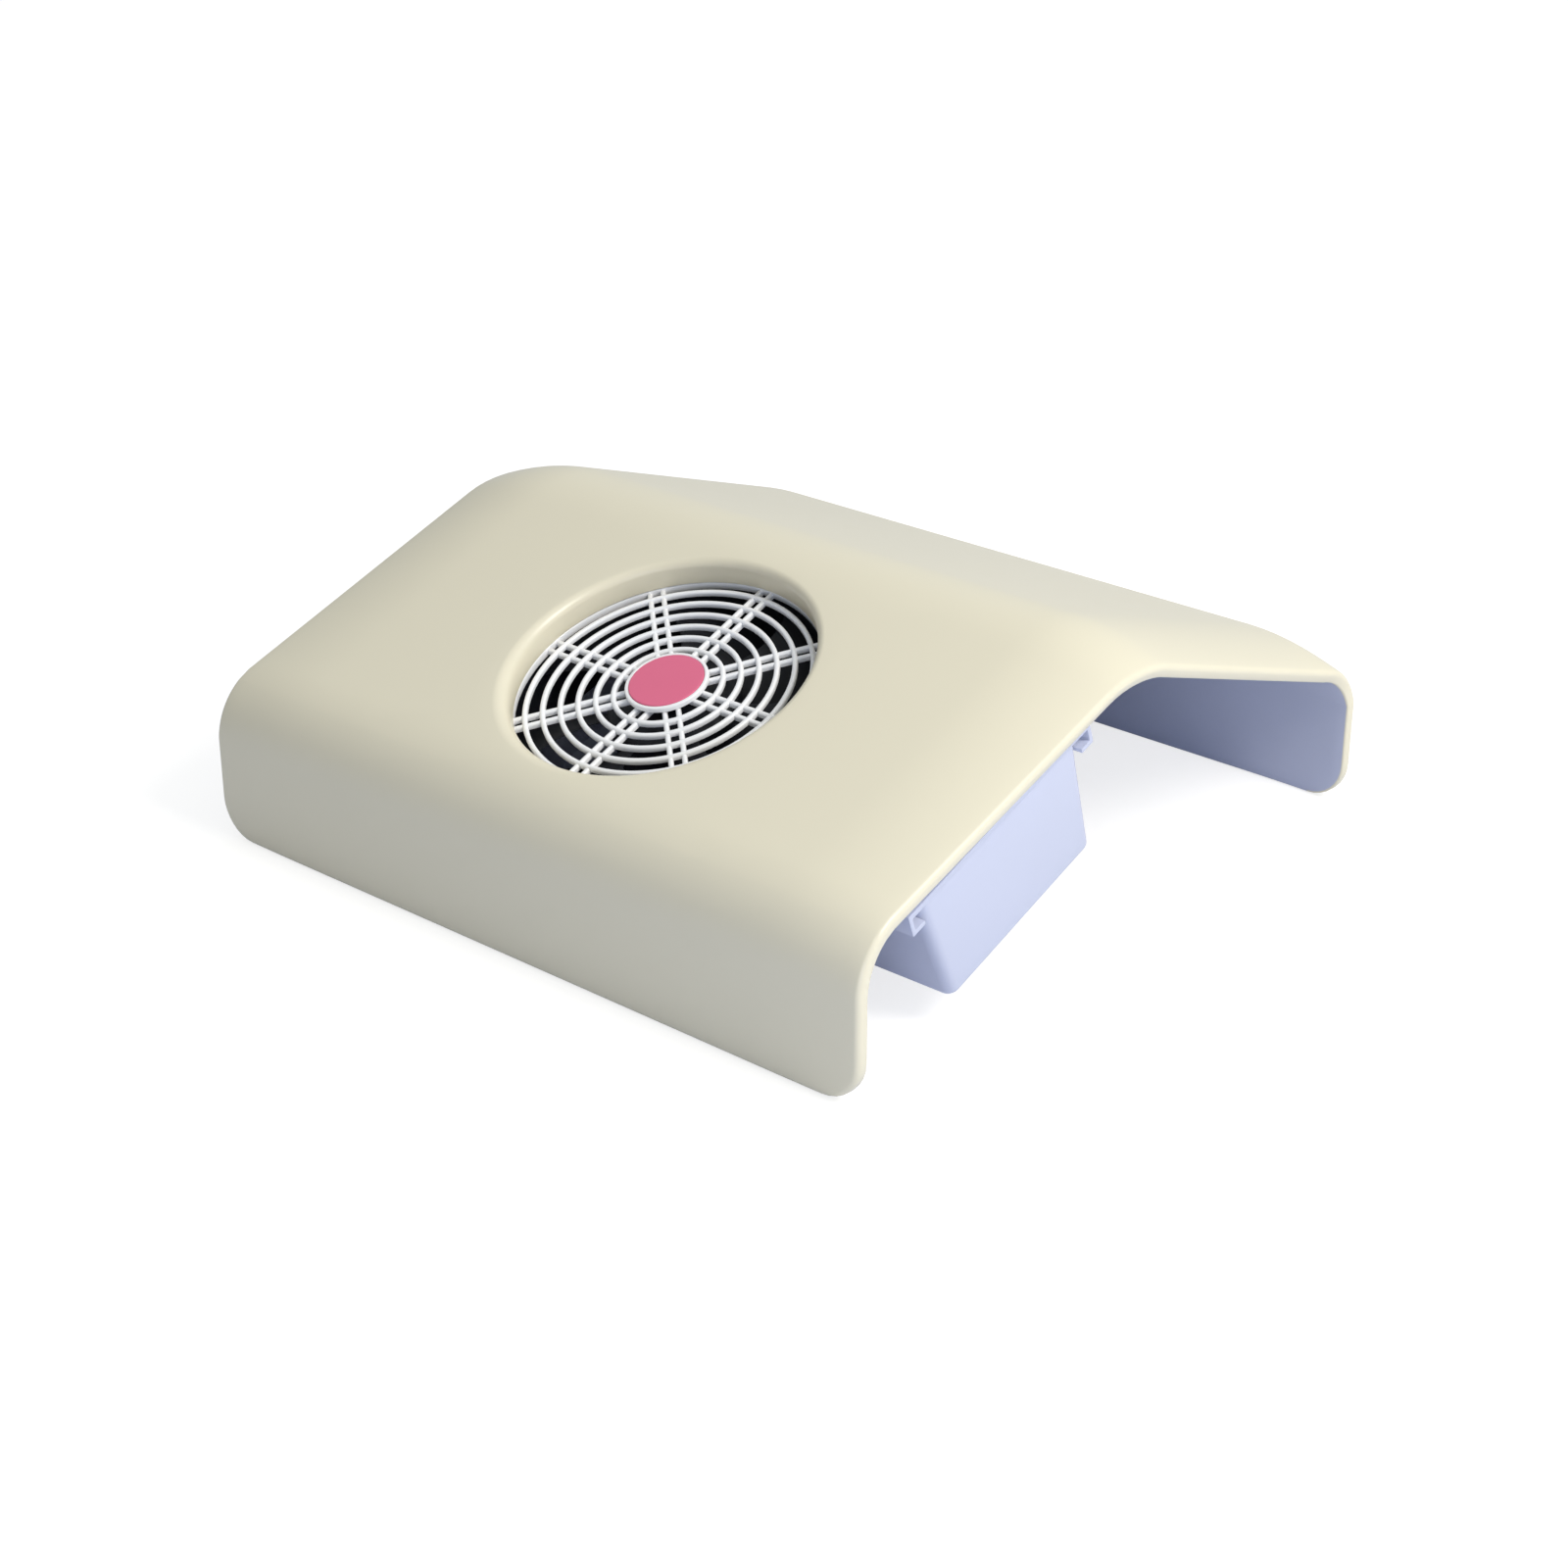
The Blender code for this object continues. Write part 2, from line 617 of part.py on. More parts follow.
def make_fan_frame():
    half_flange = FAN_FLANGE / 2
    square = rounded_rectangle(FAN_SIDE, FAN_SIDE, FAN_CORNER_RADIUS)
    frame = plate("fan_frame", [square], fan_top - FAN_FLANGE, fan_top, black)
    ring_radius = FAN_BORE_RADIUS + FAN_RING_WALL
    low = fan_bottom + half_flange
    high = fan_top - half_flange
    pieces = [plate("lower_flange", [square], fan_bottom, fan_bottom + FAN_FLANGE),
              cylinder("fan_ring", ring_radius, low, high, facets=RING_FACETS)]
    for i, place in enumerate(fan_corners):
        pieces.append(cylinder(f"corner_boss_{i}", FAN_BOSS_RADIUS, low, high, place, facets=SCREW_FACETS))
    boolean(frame, "UNION", pieces)
    cuts = [cylinder("fan_bore", FAN_BORE_RADIUS, fan_bottom - OVERRUN, fan_top + OVERRUN, facets=RING_FACETS)]
    for i, place in enumerate(fan_corners):
        cuts.append(cylinder(f"fan_hole_{i}", FAN_SCREW_RADIUS + GAP, fan_bottom - OVERRUN, fan_top + OVERRUN,
                             place, facets=SCREW_FACETS))
    boolean(frame, "DIFFERENCE", cuts)
    base_low = fan_bottom + SEAM
    inside = [cylinder("motor_base", MOTOR_BASE_RADIUS, base_low, motor_base_top, facets=RING_FACETS),
              cylinder("bearing_tube", tube_radius, base_low + SEAM, tube_top)]
    strut_low = base_low + SEAM
    for i in range(STRUT_COUNT):
        turn = Matrix.Rotation(math.pi / 4 + 2 * math.pi * i / STRUT_COUNT, 4, "Z")
        low = (MOTOR_BASE_RADIUS / 2, -STRUT_WIDTH / 2, strut_low)
        high = (ring_radius - FAN_RING_WALL / 2, STRUT_WIDTH / 2, strut_low + STRUT_THICKNESS)
        inside.append(block(f"strut_{i}", low, high, turn=turn))
    boolean(frame, "UNION", inside)
    bearing = BEARING_RADIUS + GAP
    seat = motor_base_top - GAP
    clip = CLIP_RADIUS + GAP
    bore = turned("bearing_bore", [(0, tube_top + OVERRUN), (bearing, tube_top + OVERRUN), (bearing, seat),
                                   (clip, seat), (clip, fan_bottom - OVERRUN), (0, fan_bottom - OVERRUN)])
    boolean(frame, "DIFFERENCE", [bore])
    turned("fan_gasket", ring_profile(GASKET_INNER_RADIUS, GASKET_OUTER_RADIUS, gasket_bottom, gasket_top),
           foam, RING_FACETS)


# Motor: stator, coils, board, bearings, shaft and magnet
rotor_top = fan_top - HUB_TOP_INSET
magnet_outer = HUB_RADIUS - HUB_WALL - GAP
magnet_inner = magnet_outer - MAGNET_THICKNESS
hub_ceiling = rotor_top - HUB_WALL
board_low = motor_base_top + GAP
core_low = board_low + BOARD_THICKNESS + GAP + (COIL_HEIGHT - CORE_HEIGHT) / 2


def make_motor():
    shoe_inner = CORE_RADIUS - POLE_SHOE
    half_shoe = POLE_SHOE_DEGREES / 2
    outline = []
    for i in range(POLE_COUNT):
        middle = 360 * i / POLE_COUNT
        neck = math.degrees(math.asin(POLE_WIDTH / 2 / shoe_inner))
        root = math.degrees(math.asin(POLE_WIDTH / 2 / CORE_EYE_RADIUS))
        outline += arc((0, 0), CORE_EYE_RADIUS, middle - root, middle - root, 1)[:1]
        outline += arc((0, 0), shoe_inner, middle - neck, middle - half_shoe, 3)
        outline += arc((0, 0), CORE_RADIUS, middle - half_shoe, middle + half_shoe, 5)
        outline += arc((0, 0), shoe_inner, middle + half_shoe, middle + neck, 3)
        outline += arc((0, 0), CORE_EYE_RADIUS, middle + root, middle + 360 / POLE_COUNT - root, 3)[:-1]
    eye = circle(tube_radius + GAP)
    plate("stator_core", [outline, eye], core_low, core_low + CORE_HEIGHT, core_steel)
    coil_start = CORE_EYE_RADIUS + GAP
    coil_end = math.sqrt((shoe_inner - GAP) ** 2 - (COIL_WIDTH / 2) ** 2)
    hole = rounded_rectangle(POLE_WIDTH + 2 * GAP, CORE_HEIGHT + 2 * GAP, GAP, 1)
    round_coil = rounded_rectangle(COIL_WIDTH, COIL_HEIGHT, (COIL_WIDTH - POLE_WIDTH) / 2, 3)
    core_middle = core_low + CORE_HEIGHT / 2
    for i in range(POLE_COUNT):
        spin = Matrix.Rotation(2 * math.pi * i / POLE_COUNT, 4, "Z")
        turn = Matrix.Translation((0, 0, core_middle)) @ spin @ along_x()
        plate(f"coil_{i + 1}", [round_coil, hole], coil_start, coil_end, copper, turn)
    plate("fan_board", [circle(BOARD_RADIUS), circle(tube_radius + GAP)],
          board_low, board_low + BOARD_THICKNESS, board_green)
    bearing = (SHAFT_RADIUS + RUNNING_GAP, BEARING_RADIUS)
    upper = tube_top - BEARING_HEIGHT
    lower = motor_base_top
    turned("bearing_upper", ring_profile(*bearing, upper, tube_top), brass)
    turned("bearing_lower", ring_profile(*bearing, lower, lower + BEARING_HEIGHT), brass)
    shaft_low = lower - 2 * GAP - CLIP_THICKNESS * 2
    shaft_top = hub_ceiling - GAP
    cylinder("fan_shaft", SHAFT_RADIUS, shaft_low, shaft_top, finish=steel)
    clip_top = lower - GAP
    turned("shaft_clip", ring_profile(SHAFT_RADIUS + RUNNING_GAP, CLIP_RADIUS, clip_top - CLIP_THICKNESS, clip_top),
           steel)
    magnet_top = core_low + (CORE_HEIGHT + MAGNET_HEIGHT) / 2
    turned("magnet_ring", ring_profile(magnet_inner, magnet_outer, magnet_top - MAGNET_HEIGHT, magnet_top),
           magnet_grey, RING_FACETS)


# Fan wheel: hub cup with swept, twisted and cambered blades
def blade(index):
    spans = 3
    chords = 4
    root = HUB_RADIUS - HUB_WALL / 2
    tip = FAN_BORE_RADIUS - BLADE_TIP_GAP
    middle = fan_top - HUB_TOP_INSET - BLADE_ROOT_HEIGHT / 2 - BLADE_THICKNESS
    bm = bmesh.new()
    rows = []
    for i in range(spans + 1):
        out = i / spans
        radius = root + (tip - root) * out
        wrap = math.radians(BLADE_ROOT_WRAP_DEGREES + (BLADE_TIP_WRAP_DEGREES - BLADE_ROOT_WRAP_DEGREES) * out)
        height = BLADE_ROOT_HEIGHT + (BLADE_TIP_HEIGHT - BLADE_ROOT_HEIGHT) * out
        sweep = math.radians(BLADE_SWEEP_DEGREES) * out ** 2 + 2 * math.pi * index / BLADE_COUNT
        row = []
        for j in range(chords + 1):
            chord = j / chords
            angle = sweep + wrap * (0.5 - chord)
            level = middle + height * (0.5 - chord) + BLADE_CAMBER * 4 * chord * (1 - chord)
            row.append(bm.verts.new((radius * math.cos(angle), radius * math.sin(angle), level)))
        rows.append(row)
    for inner, outer in zip(rows, rows[1:]):
        for j in range(chords):
            bm.faces.new((inner[j], outer[j], outer[j + 1], inner[j + 1]))
    made = add(f"blade_{index}", mesh_from(bm, f"blade_{index}"))
    skin = made.modifiers.new("skin", "SOLIDIFY")
    skin.thickness = BLADE_THICKNESS
    skin.offset = 0
    return made


def make_fan_wheel():
    skirt = motor_base_top + 2 * GAP
    inside = HUB_RADIUS - HUB_WALL
    crown = arc((HUB_RADIUS - HUB_ROUNDING, rotor_top - HUB_ROUNDING), HUB_ROUNDING, 90, 0, 3)
    bore = SHAFT_RADIUS + RUNNING_GAP
    boss_low = hub_ceiling - HUB_BOSS_HEIGHT
    bore_top = hub_ceiling - GAP / 2
    wheel = turned("fan_rotor", [
        (0, rotor_top), *crown, (HUB_RADIUS, skirt), (inside, skirt), (inside, hub_ceiling),
        (HUB_BOSS_RADIUS, hub_ceiling), (HUB_BOSS_RADIUS, boss_low), (bore, boss_low), (bore, bore_top), (0, bore_top),
    ], navy, RING_FACETS)
    boolean(wheel, "UNION", [blade(i) for i in range(BLADE_COUNT)])


# Duct: flanged bowl under the fan with a side spout to the drawer
def make_duct():
    low_flange = duct_top - DUCT_FLANGE
    square = rounded_rectangle(FAN_SIDE, FAN_SIDE, FAN_CORNER_RADIUS)
    duct = plate("duct_housing", [square], low_flange, duct_top, lavender)
    spout_end = DRAWER_START - GAP
    half_spout = SPOUT_WIDTH / 2
    spout_low = -SPOUT_LOW_DEPTH
    spout_high = -SPOUT_HIGH_DEPTH
    bowl = cylinder("bowl", BOWL_RADIUS, bowl_bottom, duct_top - DUCT_FLANGE / 2, facets=RING_FACETS)
    spout = block("spout", (0, -half_spout - DUCT_WALL, spout_low - DUCT_WALL / 2),
                  (spout_end, half_spout + DUCT_WALL, duct_top - DUCT_FLANGE * 0.6))
    boolean(duct, "UNION", [bowl, spout])
    cuts = [cylinder("bowl_inside", BOWL_RADIUS - DUCT_WALL, bowl_bottom + DUCT_WALL, duct_top + OVERRUN,
                     facets=RING_FACETS),
            block("spout_inside", (0, -half_spout, spout_low + DUCT_WALL / 2),
                  (spout_end + OVERRUN, half_spout, spout_high))]
    for i, place in enumerate(fan_corners):
        cuts.append(cylinder(f"duct_hole_{i}", FAN_SCREW_RADIUS + GAP, low_flange - OVERRUN, duct_top + OVERRUN,
                             place, facets=SCREW_FACETS))
    boolean(duct, "DIFFERENCE", cuts)
    for i, place in enumerate(fan_corners):
        screw(f"fan_screw_{i + 1}", place, low_flange, FAN_SCREW_RADIUS, FAN_SCREW_HEAD_RADIUS,
              FAN_SCREW_HEAD_HEIGHT, FAN_SCREW_LENGTH)


# Drawer hanger: plate with a channel along each side, hung on four posts
def make_hanger():
    section = [
        (-channel_outside, hanger_top), (-channel_outside, lip_bottom), (-lip_inside, lip_bottom),
        (-lip_inside, lip_top), (-channel_inside, lip_top), (-channel_inside, hanger_bottom),
        (channel_inside, hanger_bottom), (channel_inside, lip_top), (lip_inside, lip_top),
        (lip_inside, lip_bottom), (channel_outside, lip_bottom), (channel_outside, hanger_top),
    ]
    start = DRAWER_START + GAP
    hanger = plate("drawer_hanger", [section], start, HANGER_END, lavender, along_x())
    ears = []
    holes = []
    ear_low = hanger_bottom - SEAM
    for i, (x, y) in enumerate(hanger_places()):
        side = math.copysign(1, y)
        ears.append(cylinder(f"ear_{i}", HANGER_EAR_RADIUS, ear_low, hanger_ear_top(), (x, y), facets=POST_FACETS))
        root = sorted((side * (channel_outside - CHANNEL_WEB / 2), y))
        ears.append(block(f"ear_root_{i}", (x - HANGER_EAR_RADIUS * 0.9, root[0], ear_low + SEAM),
                          (x + HANGER_EAR_RADIUS * 0.9, root[1], hanger_ear_top() - SEAM)))
        holes.append(cylinder(f"ear_hole_{i}", SMALL_SCREW_RADIUS + GAP, ear_low - OVERRUN,
                              hanger_ear_top() + OVERRUN, (x, y), facets=SCREW_FACETS))
        screw(f"hanger_screw_{i + 1}", (x, y), ear_low, SMALL_SCREW_RADIUS, SMALL_SCREW_HEAD_RADIUS,
              SMALL_SCREW_HEAD_HEIGHT, SMALL_SCREW_LENGTH)
    boolean(hanger, "UNION", ears)
    boolean(hanger, "DIFFERENCE", holes)


def box_outline(level, start, end, inset=0.0, radius=BOX_CORNER_RADIUS):
    """Rounded outline of the drafted box at one height."""
    width = end - start - 2 * inset
    depth = 2 * (box_half_width(level) - inset)
    return rounded_rectangle(width, depth, radius - inset, centre=((start + end) / 2, 0))


# Dust drawer: drafted box with side flanges, an inlet window and a slotted floor
floor_top = box_bottom + BOX_FLOOR


def make_drawer():
    drawer = lofted_box("dust_drawer", box_outline(box_bottom, DRAWER_START, BOX_END),
                        box_outline(box_top, DRAWER_START, BOX_END), box_bottom, box_top, lavender)
    start = DRAWER_START + FLANGE_END_INSET
    end = BOX_END - BOX_CORNER_RADIUS - FLANGE_END_INSET
    flanges = []
    for side in (-1, 1):
        span = sorted((side * (box_half_width(flange_top) - BOX_WALL / 2), side * flange_tip))
        flanges.append(block(f"flange_{side}", (start, span[0], flange_bottom), (end, span[1], flange_top)))
    boolean(drawer, "UNION", flanges)
    over = box_top + OVERRUN
    inner_low = box_outline(floor_top, DRAWER_START, BOX_END, BOX_WALL)
    inner_high = box_outline(over, DRAWER_START, BOX_END, BOX_WALL)
    window_low = -SPOUT_LOW_DEPTH + DUCT_WALL
    half_window = SPOUT_WIDTH / 2 - BOX_CORNER_RADIUS
    cuts = [lofted_box("drawer_inside", inner_low, inner_high, floor_top, over),
            block("drawer_window", (DRAWER_START - OVERRUN, -half_window, window_low),
                  (DRAWER_START + BOX_WALL + OVERRUN, half_window, -SPOUT_HIGH_DEPTH))]
    middle = (DRAWER_START + BOX_END) / 2
    for i in range(SLOT_COUNT):
        x = middle + (i - (SLOT_COUNT - 1) / 2) * SLOT_PITCH
        outline = rounded_rectangle(SLOT_WIDTH, SLOT_LENGTH, SLOT_WIDTH * 0.45, 2, (x, 0))
        cuts.append(plate(f"slot_{i}", [outline], box_bottom - OVERRUN, floor_top + OVERRUN))
    boolean(drawer, "DIFFERENCE", cuts)

    inset = BOX_WALL + GAP
    pad_low = floor_top + GAP
    pad_top = pad_low + FILTER_THICKNESS
    lofted_box("filter_pad", box_outline(pad_low, DRAWER_START, BOX_END, inset),
               box_outline(pad_top, DRAWER_START, BOX_END, inset), pad_low, pad_top, felt)
    grid_low = pad_top + GAP
    grid_top = grid_low + FILTER_GRID_THICKNESS
    outer = box_outline(grid_low, DRAWER_START, BOX_END, inset)
    width = BOX_END - DRAWER_START - 2 * inset
    depth = 2 * (box_half_width(grid_low) - inset)
    cell_x = (width - GRID_BAR) / GRID_COLUMNS
    cell_y = (depth - GRID_BAR) / GRID_ROWS
    windows = []
    for i in range(GRID_COLUMNS):
        for j in range(GRID_ROWS):
            x = middle + (i - (GRID_COLUMNS - 1) / 2) * cell_x
            y = (j - (GRID_ROWS - 1) / 2) * cell_y
            across = (cell_x - GRID_BAR) / 2
            along = (cell_y - GRID_BAR) / 2
            windows.append([(x - across, y - along), (x + across, y - along),
                            (x + across, y + along), (x - across, y + along)])
    plate("filter_grid", [outer, *windows], grid_low, grid_top, white)


# Control box at the other end: drafted like the drawer, open below and closed by a screwed cover
cover_top = box_bottom + CONTROL_COVER
control_low = cover_top + GAP
switch_level = -SWITCH_DEPTH


def control_boss_places():
    x_low = -BOX_END + CORNER_BOSS_INSET
    x_high = -CONTROL_START - CORNER_BOSS_INSET
    y = box_half_width(control_low) - CORNER_BOSS_INSET
    return [(x, side * y) for x in (x_low, x_high) for side in (-1, 1)]


def make_control_box():
    start = -BOX_END
    end = -CONTROL_START
    box = lofted_box("control_box", box_outline(control_low, start, end), box_outline(box_top, start, end),
                     control_low, box_top, lavender)
    under = control_low - OVERRUN
    ceiling = box_top - BOX_FLOOR
    inside = lofted_box("control_inside", box_outline(under, start, end, BOX_WALL),
                        box_outline(ceiling, start, end, BOX_WALL), under, ceiling)
    boolean(box, "DIFFERENCE", [inside])
    bosses = [cylinder(f"corner_boss_control_{i}", CORNER_BOSS_RADIUS, control_low + SEAM, ceiling + BOX_FLOOR / 2,
                       place, facets=SCREW_FACETS) for i, place in enumerate(control_boss_places())]
    boolean(box, "UNION", bosses)
    cuts = []
    for i, place in enumerate(control_boss_places()):
        cuts.append(cylinder(f"boss_pilot_{i}", SMALL_SCREW_RADIUS + GAP, under,
                             control_low + SMALL_SCREW_LENGTH, place, facets=SCREW_FACETS))
    for i, place in enumerate(control_post_places()):
        cuts.append(cylinder(f"post_hole_{i}", SMALL_SCREW_RADIUS + GAP, ceiling - OVERRUN, box_top + OVERRUN,
                             place, facets=SCREW_FACETS))
    half_y = SWITCH_BODY[1] / 2 + GAP
    half_z = SWITCH_BODY[2] / 2 + GAP
    cuts.append(block("switch_cutout", (start - OVERRUN, SWITCH_Y - half_y, switch_level - half_z),
                      (start + BOX_WALL + OVERRUN, SWITCH_Y + half_y, switch_level + half_z)))
    cuts.append(cylinder("jack_cutout", JACK_RADIUS + GAP, start - OVERRUN, start + BOX_WALL + OVERRUN,
                         (JACK_Y, switch_level), turn=along_x()))
    cuts.append(cylinder("lead_cutout", LEAD_HOLE_RADIUS, end - BOX_WALL - OVERRUN, end + OVERRUN,
                         (LEAD_Y, -LEAD_DEPTH), facets=SCREW_FACETS, turn=along_x()))
    boolean(box, "DIFFERENCE", cuts)

    cover = lofted_box("control_cover", box_outline(box_bottom, start, end), box_outline(cover_top, start, end),
                       box_bottom, cover_top, lavender)
    holes = [cylinder(f"cover_hole_{i}", SMALL_SCREW_RADIUS + GAP, box_bottom - OVERRUN, cover_top + OVERRUN,
                      place, facets=SCREW_FACETS) for i, place in enumerate(control_boss_places())]
    boolean(cover, "DIFFERENCE", holes)
    small = (SMALL_SCREW_RADIUS, SMALL_SCREW_HEAD_RADIUS, SMALL_SCREW_HEAD_HEIGHT, SMALL_SCREW_LENGTH)
    for i, place in enumerate(control_boss_places()):
        screw(f"cover_screw_{i + 1}", place, box_bottom, *small)
    for i, place in enumerate(control_post_places()):
        screw(f"box_screw_{i + 1}", place, ceiling, *small)


# Rocker switch: bezel and body with a well, a tilting rocker and two blades
rocker_axis = Vector((-BOX_END - GAP - SWITCH_BEZEL[0] + ROCKER_AXIS_INSET, SWITCH_Y, switch_level))


def make_switch():
    face = -BOX_END - GAP
    front = face - SWITCH_BEZEL[0]
    bezel = rounded_rectangle(SWITCH_BEZEL[1], SWITCH_BEZEL[2], SWITCH_BEZEL[0] / 2, 2, (SWITCH_Y, switch_level))
    body = plate("switch_body", [bezel], front, face, lead_black, along_x())
    core = block("switch_core", (face - SWITCH_BEZEL[0] / 2, SWITCH_Y - SWITCH_BODY[1] / 2,
                                 switch_level - SWITCH_BODY[2] / 2),
                 (face + SWITCH_BODY[0], SWITCH_Y + SWITCH_BODY[1] / 2, switch_level + SWITCH_BODY[2] / 2))
    boolean(body, "UNION", [core])
    well = block("switch_well", (front - OVERRUN, SWITCH_Y - SWITCH_WELL[1] / 2, switch_level - SWITCH_WELL[2] / 2),
                 (front + SWITCH_WELL[0], SWITCH_Y + SWITCH_WELL[1] / 2, switch_level + SWITCH_WELL[2] / 2))
    boolean(body, "DIFFERENCE", [well])

    tilt = math.radians(ROCKER_TILT_DEGREES)
    side = math.degrees(math.asin(ROCKER_RISE / ROCKER_REACH))
    keel = math.degrees(math.asin(ROCKER_KEEL / ROCKER_REACH))
    section = arc((0, 0), ROCKER_REACH, -keel, side, 4) + [(0, ROCKER_RISE - ROCKER_REACH * math.tan(tilt))]
    section += arc((0, 0), ROCKER_REACH, 180 - side, 180 + keel, 4)
    # The section's X runs up the slope's Z and its Y points out of the box, to -X
    lay = Matrix(((0, -1, 0), (0, 0, -1), (1, 0, 0))).to_4x4()
    rocker = plate("switch_rocker", [section], -ROCKER_WIDTH / 2, ROCKER_WIDTH / 2, black,
                   Matrix.Rotation(tilt, 4, "Y") @ lay)
    rocker.location = rocker_axis
    back = face + SWITCH_BODY[0] + GAP
    for i, step in enumerate((-1, 1)):
        level = switch_level + step * TERMINAL_SPACING / 2
        block(f"switch_terminal_{i + 1}", (back, SWITCH_Y - TERMINAL[1] / 2, level - TERMINAL[2] / 2),
              (back + TERMINAL[0], SWITCH_Y + TERMINAL[1] / 2, level + TERMINAL[2] / 2), brass)


# Low-voltage inlet: turned barrel with a centre pin, held by a nut
def make_jack():
    face = -BOX_END - GAP
    place = (face, JACK_Y, switch_level)
    turn = (0, math.radians(-90), 0)
    back = -JACK_LENGTH
    turned("power_jack", [
        (JACK_COLLAR_RADIUS, JACK_COLLAR), (JACK_COLLAR_RADIUS, 0), (JACK_RADIUS, 0), (JACK_RADIUS, back), (0, back),
        (0, JACK_COLLAR - JACK_BORE_DEPTH), (JACK_BORE_RADIUS, JACK_COLLAR - JACK_BORE_DEPTH),
        (JACK_BORE_RADIUS, JACK_COLLAR),
    ], lead_black, ROUND_FACETS, place, turn)
    pin_low = JACK_COLLAR - JACK_BORE_DEPTH + GAP
    turned("jack_pin", [(0, 0), (JACK_PIN_RADIUS * 0.6, 0), (JACK_PIN_RADIUS, -JACK_PIN_RADIUS / 2),
                        (JACK_PIN_RADIUS, pin_low), (0, pin_low)], brass, SCREW_FACETS, place, turn)
    nut_face = -BOX_END + BOX_WALL + GAP
    hexagon = circle(JACK_NUT_RADIUS, 6, (JACK_Y, switch_level))
    hole = circle(JACK_RADIUS + GAP, ROUND_FACETS, (JACK_Y, switch_level))
    plate("jack_nut", [hexagon, hole], nut_face, nut_face + JACK_NUT, steel, along_x())


def lead(name, points):
    """Insulated lead through the points: straight at both ends and smooth between them."""
    curve = bpy.data.curves.new(name, "CURVE")
    curve.dimensions = "3D"
    curve.bevel_depth = LEAD_RADIUS
    curve.bevel_resolution = 2
    curve.use_fill_caps = True
    spline = curve.splines.new("POLY")
    smooth = points[:1]
    for a, b, c, d in zip(points, points[1:], points[2:], points[3:]):
        for i in range(LEAD_STEPS):
            t = i / LEAD_STEPS
            smooth.append((b * 2 + (c - a) * t + (a * 2 - b * 5 + c * 4 - d) * t ** 2
                           + (b * 3 - a - c * 3 + d) * t ** 3) / 2)
    smooth += points[-2:]
    spline.points.add(len(smooth) - 1)
    for point, place in zip(spline.points, smooth):
        point.co = (*place, 1)
    made = bpy.data.objects.new(name, curve)
    made.parent = slope
    curve.materials.append(lead_black)
    parts.objects.link(made)


def make_leads():
    back = -BOX_END - GAP + SWITCH_BODY[0] + GAP + TERMINAL[0] + GAP
    upper = switch_level + TERMINAL_SPACING / 2
    lower = switch_level - TERMINAL_SPACING / 2
    frame_side = -FAN_SIDE / 2
    fan_exit = Vector((frame_side - GAP, LEAD_Y, -LEAD_DEPTH))
    hole = Vector((-CONTROL_START, LEAD_Y, -LEAD_DEPTH))
    clear = 3 * LEAD_RADIUS
    lead("fan_lead", [
        fan_exit,
        hole,
        hole - Vector((BOX_WALL + 2 * clear, 0, 0)),
        Vector((back + 4 * clear, (LEAD_Y + SWITCH_Y) / 2, (upper - LEAD_DEPTH) / 2)),
        Vector((back + clear, SWITCH_Y, upper)),
        Vector((back, SWITCH_Y, upper)),
    ])
    jack_back = -BOX_END - GAP + JACK_LENGTH + GAP
    lead("jack_lead", [
        Vector((jack_back, JACK_Y, switch_level)),
        Vector((jack_back + 2 * clear, JACK_Y, switch_level)),
        Vector((back + 4 * clear, (JACK_Y + SWITCH_Y) / 2, lower - 2 * clear)),
        Vector((back + clear, SWITCH_Y, lower)),
        Vector((back, SWITCH_Y, lower)),
    ])


make_shell()
make_grille()
make_fan_frame()
make_motor()
make_fan_wheel()
make_duct()
make_hanger()
make_drawer()
make_control_box()
make_switch()
make_jack()
make_leads()
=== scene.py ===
import json
import math

import bmesh
import bpy
from mathutils import Matrix, Vector

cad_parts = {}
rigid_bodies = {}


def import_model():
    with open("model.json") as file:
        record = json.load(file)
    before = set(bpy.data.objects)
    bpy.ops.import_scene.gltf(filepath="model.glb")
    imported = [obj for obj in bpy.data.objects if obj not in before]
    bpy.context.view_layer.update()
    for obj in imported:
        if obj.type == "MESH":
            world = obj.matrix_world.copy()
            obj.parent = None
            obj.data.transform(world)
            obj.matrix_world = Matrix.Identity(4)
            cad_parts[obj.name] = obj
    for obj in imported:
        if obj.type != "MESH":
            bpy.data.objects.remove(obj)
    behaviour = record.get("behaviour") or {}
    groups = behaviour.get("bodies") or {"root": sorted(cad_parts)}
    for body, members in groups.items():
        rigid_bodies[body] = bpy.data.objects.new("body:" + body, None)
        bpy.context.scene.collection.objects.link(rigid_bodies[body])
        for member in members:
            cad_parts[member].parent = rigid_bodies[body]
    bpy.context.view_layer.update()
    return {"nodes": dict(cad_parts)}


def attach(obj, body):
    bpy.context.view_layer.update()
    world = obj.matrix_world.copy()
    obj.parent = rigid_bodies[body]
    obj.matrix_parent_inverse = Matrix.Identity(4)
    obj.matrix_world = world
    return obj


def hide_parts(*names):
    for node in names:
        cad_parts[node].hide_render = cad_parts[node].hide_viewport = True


# Looks of an arched desk-top nail dust collector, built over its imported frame.
# Metres, +Z up. Pieces under the front slope are written in the slope's own axes: X along the width, Y up the
# slope and Z out of it, from the point on the cover's outer face above the fan's centre.

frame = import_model()

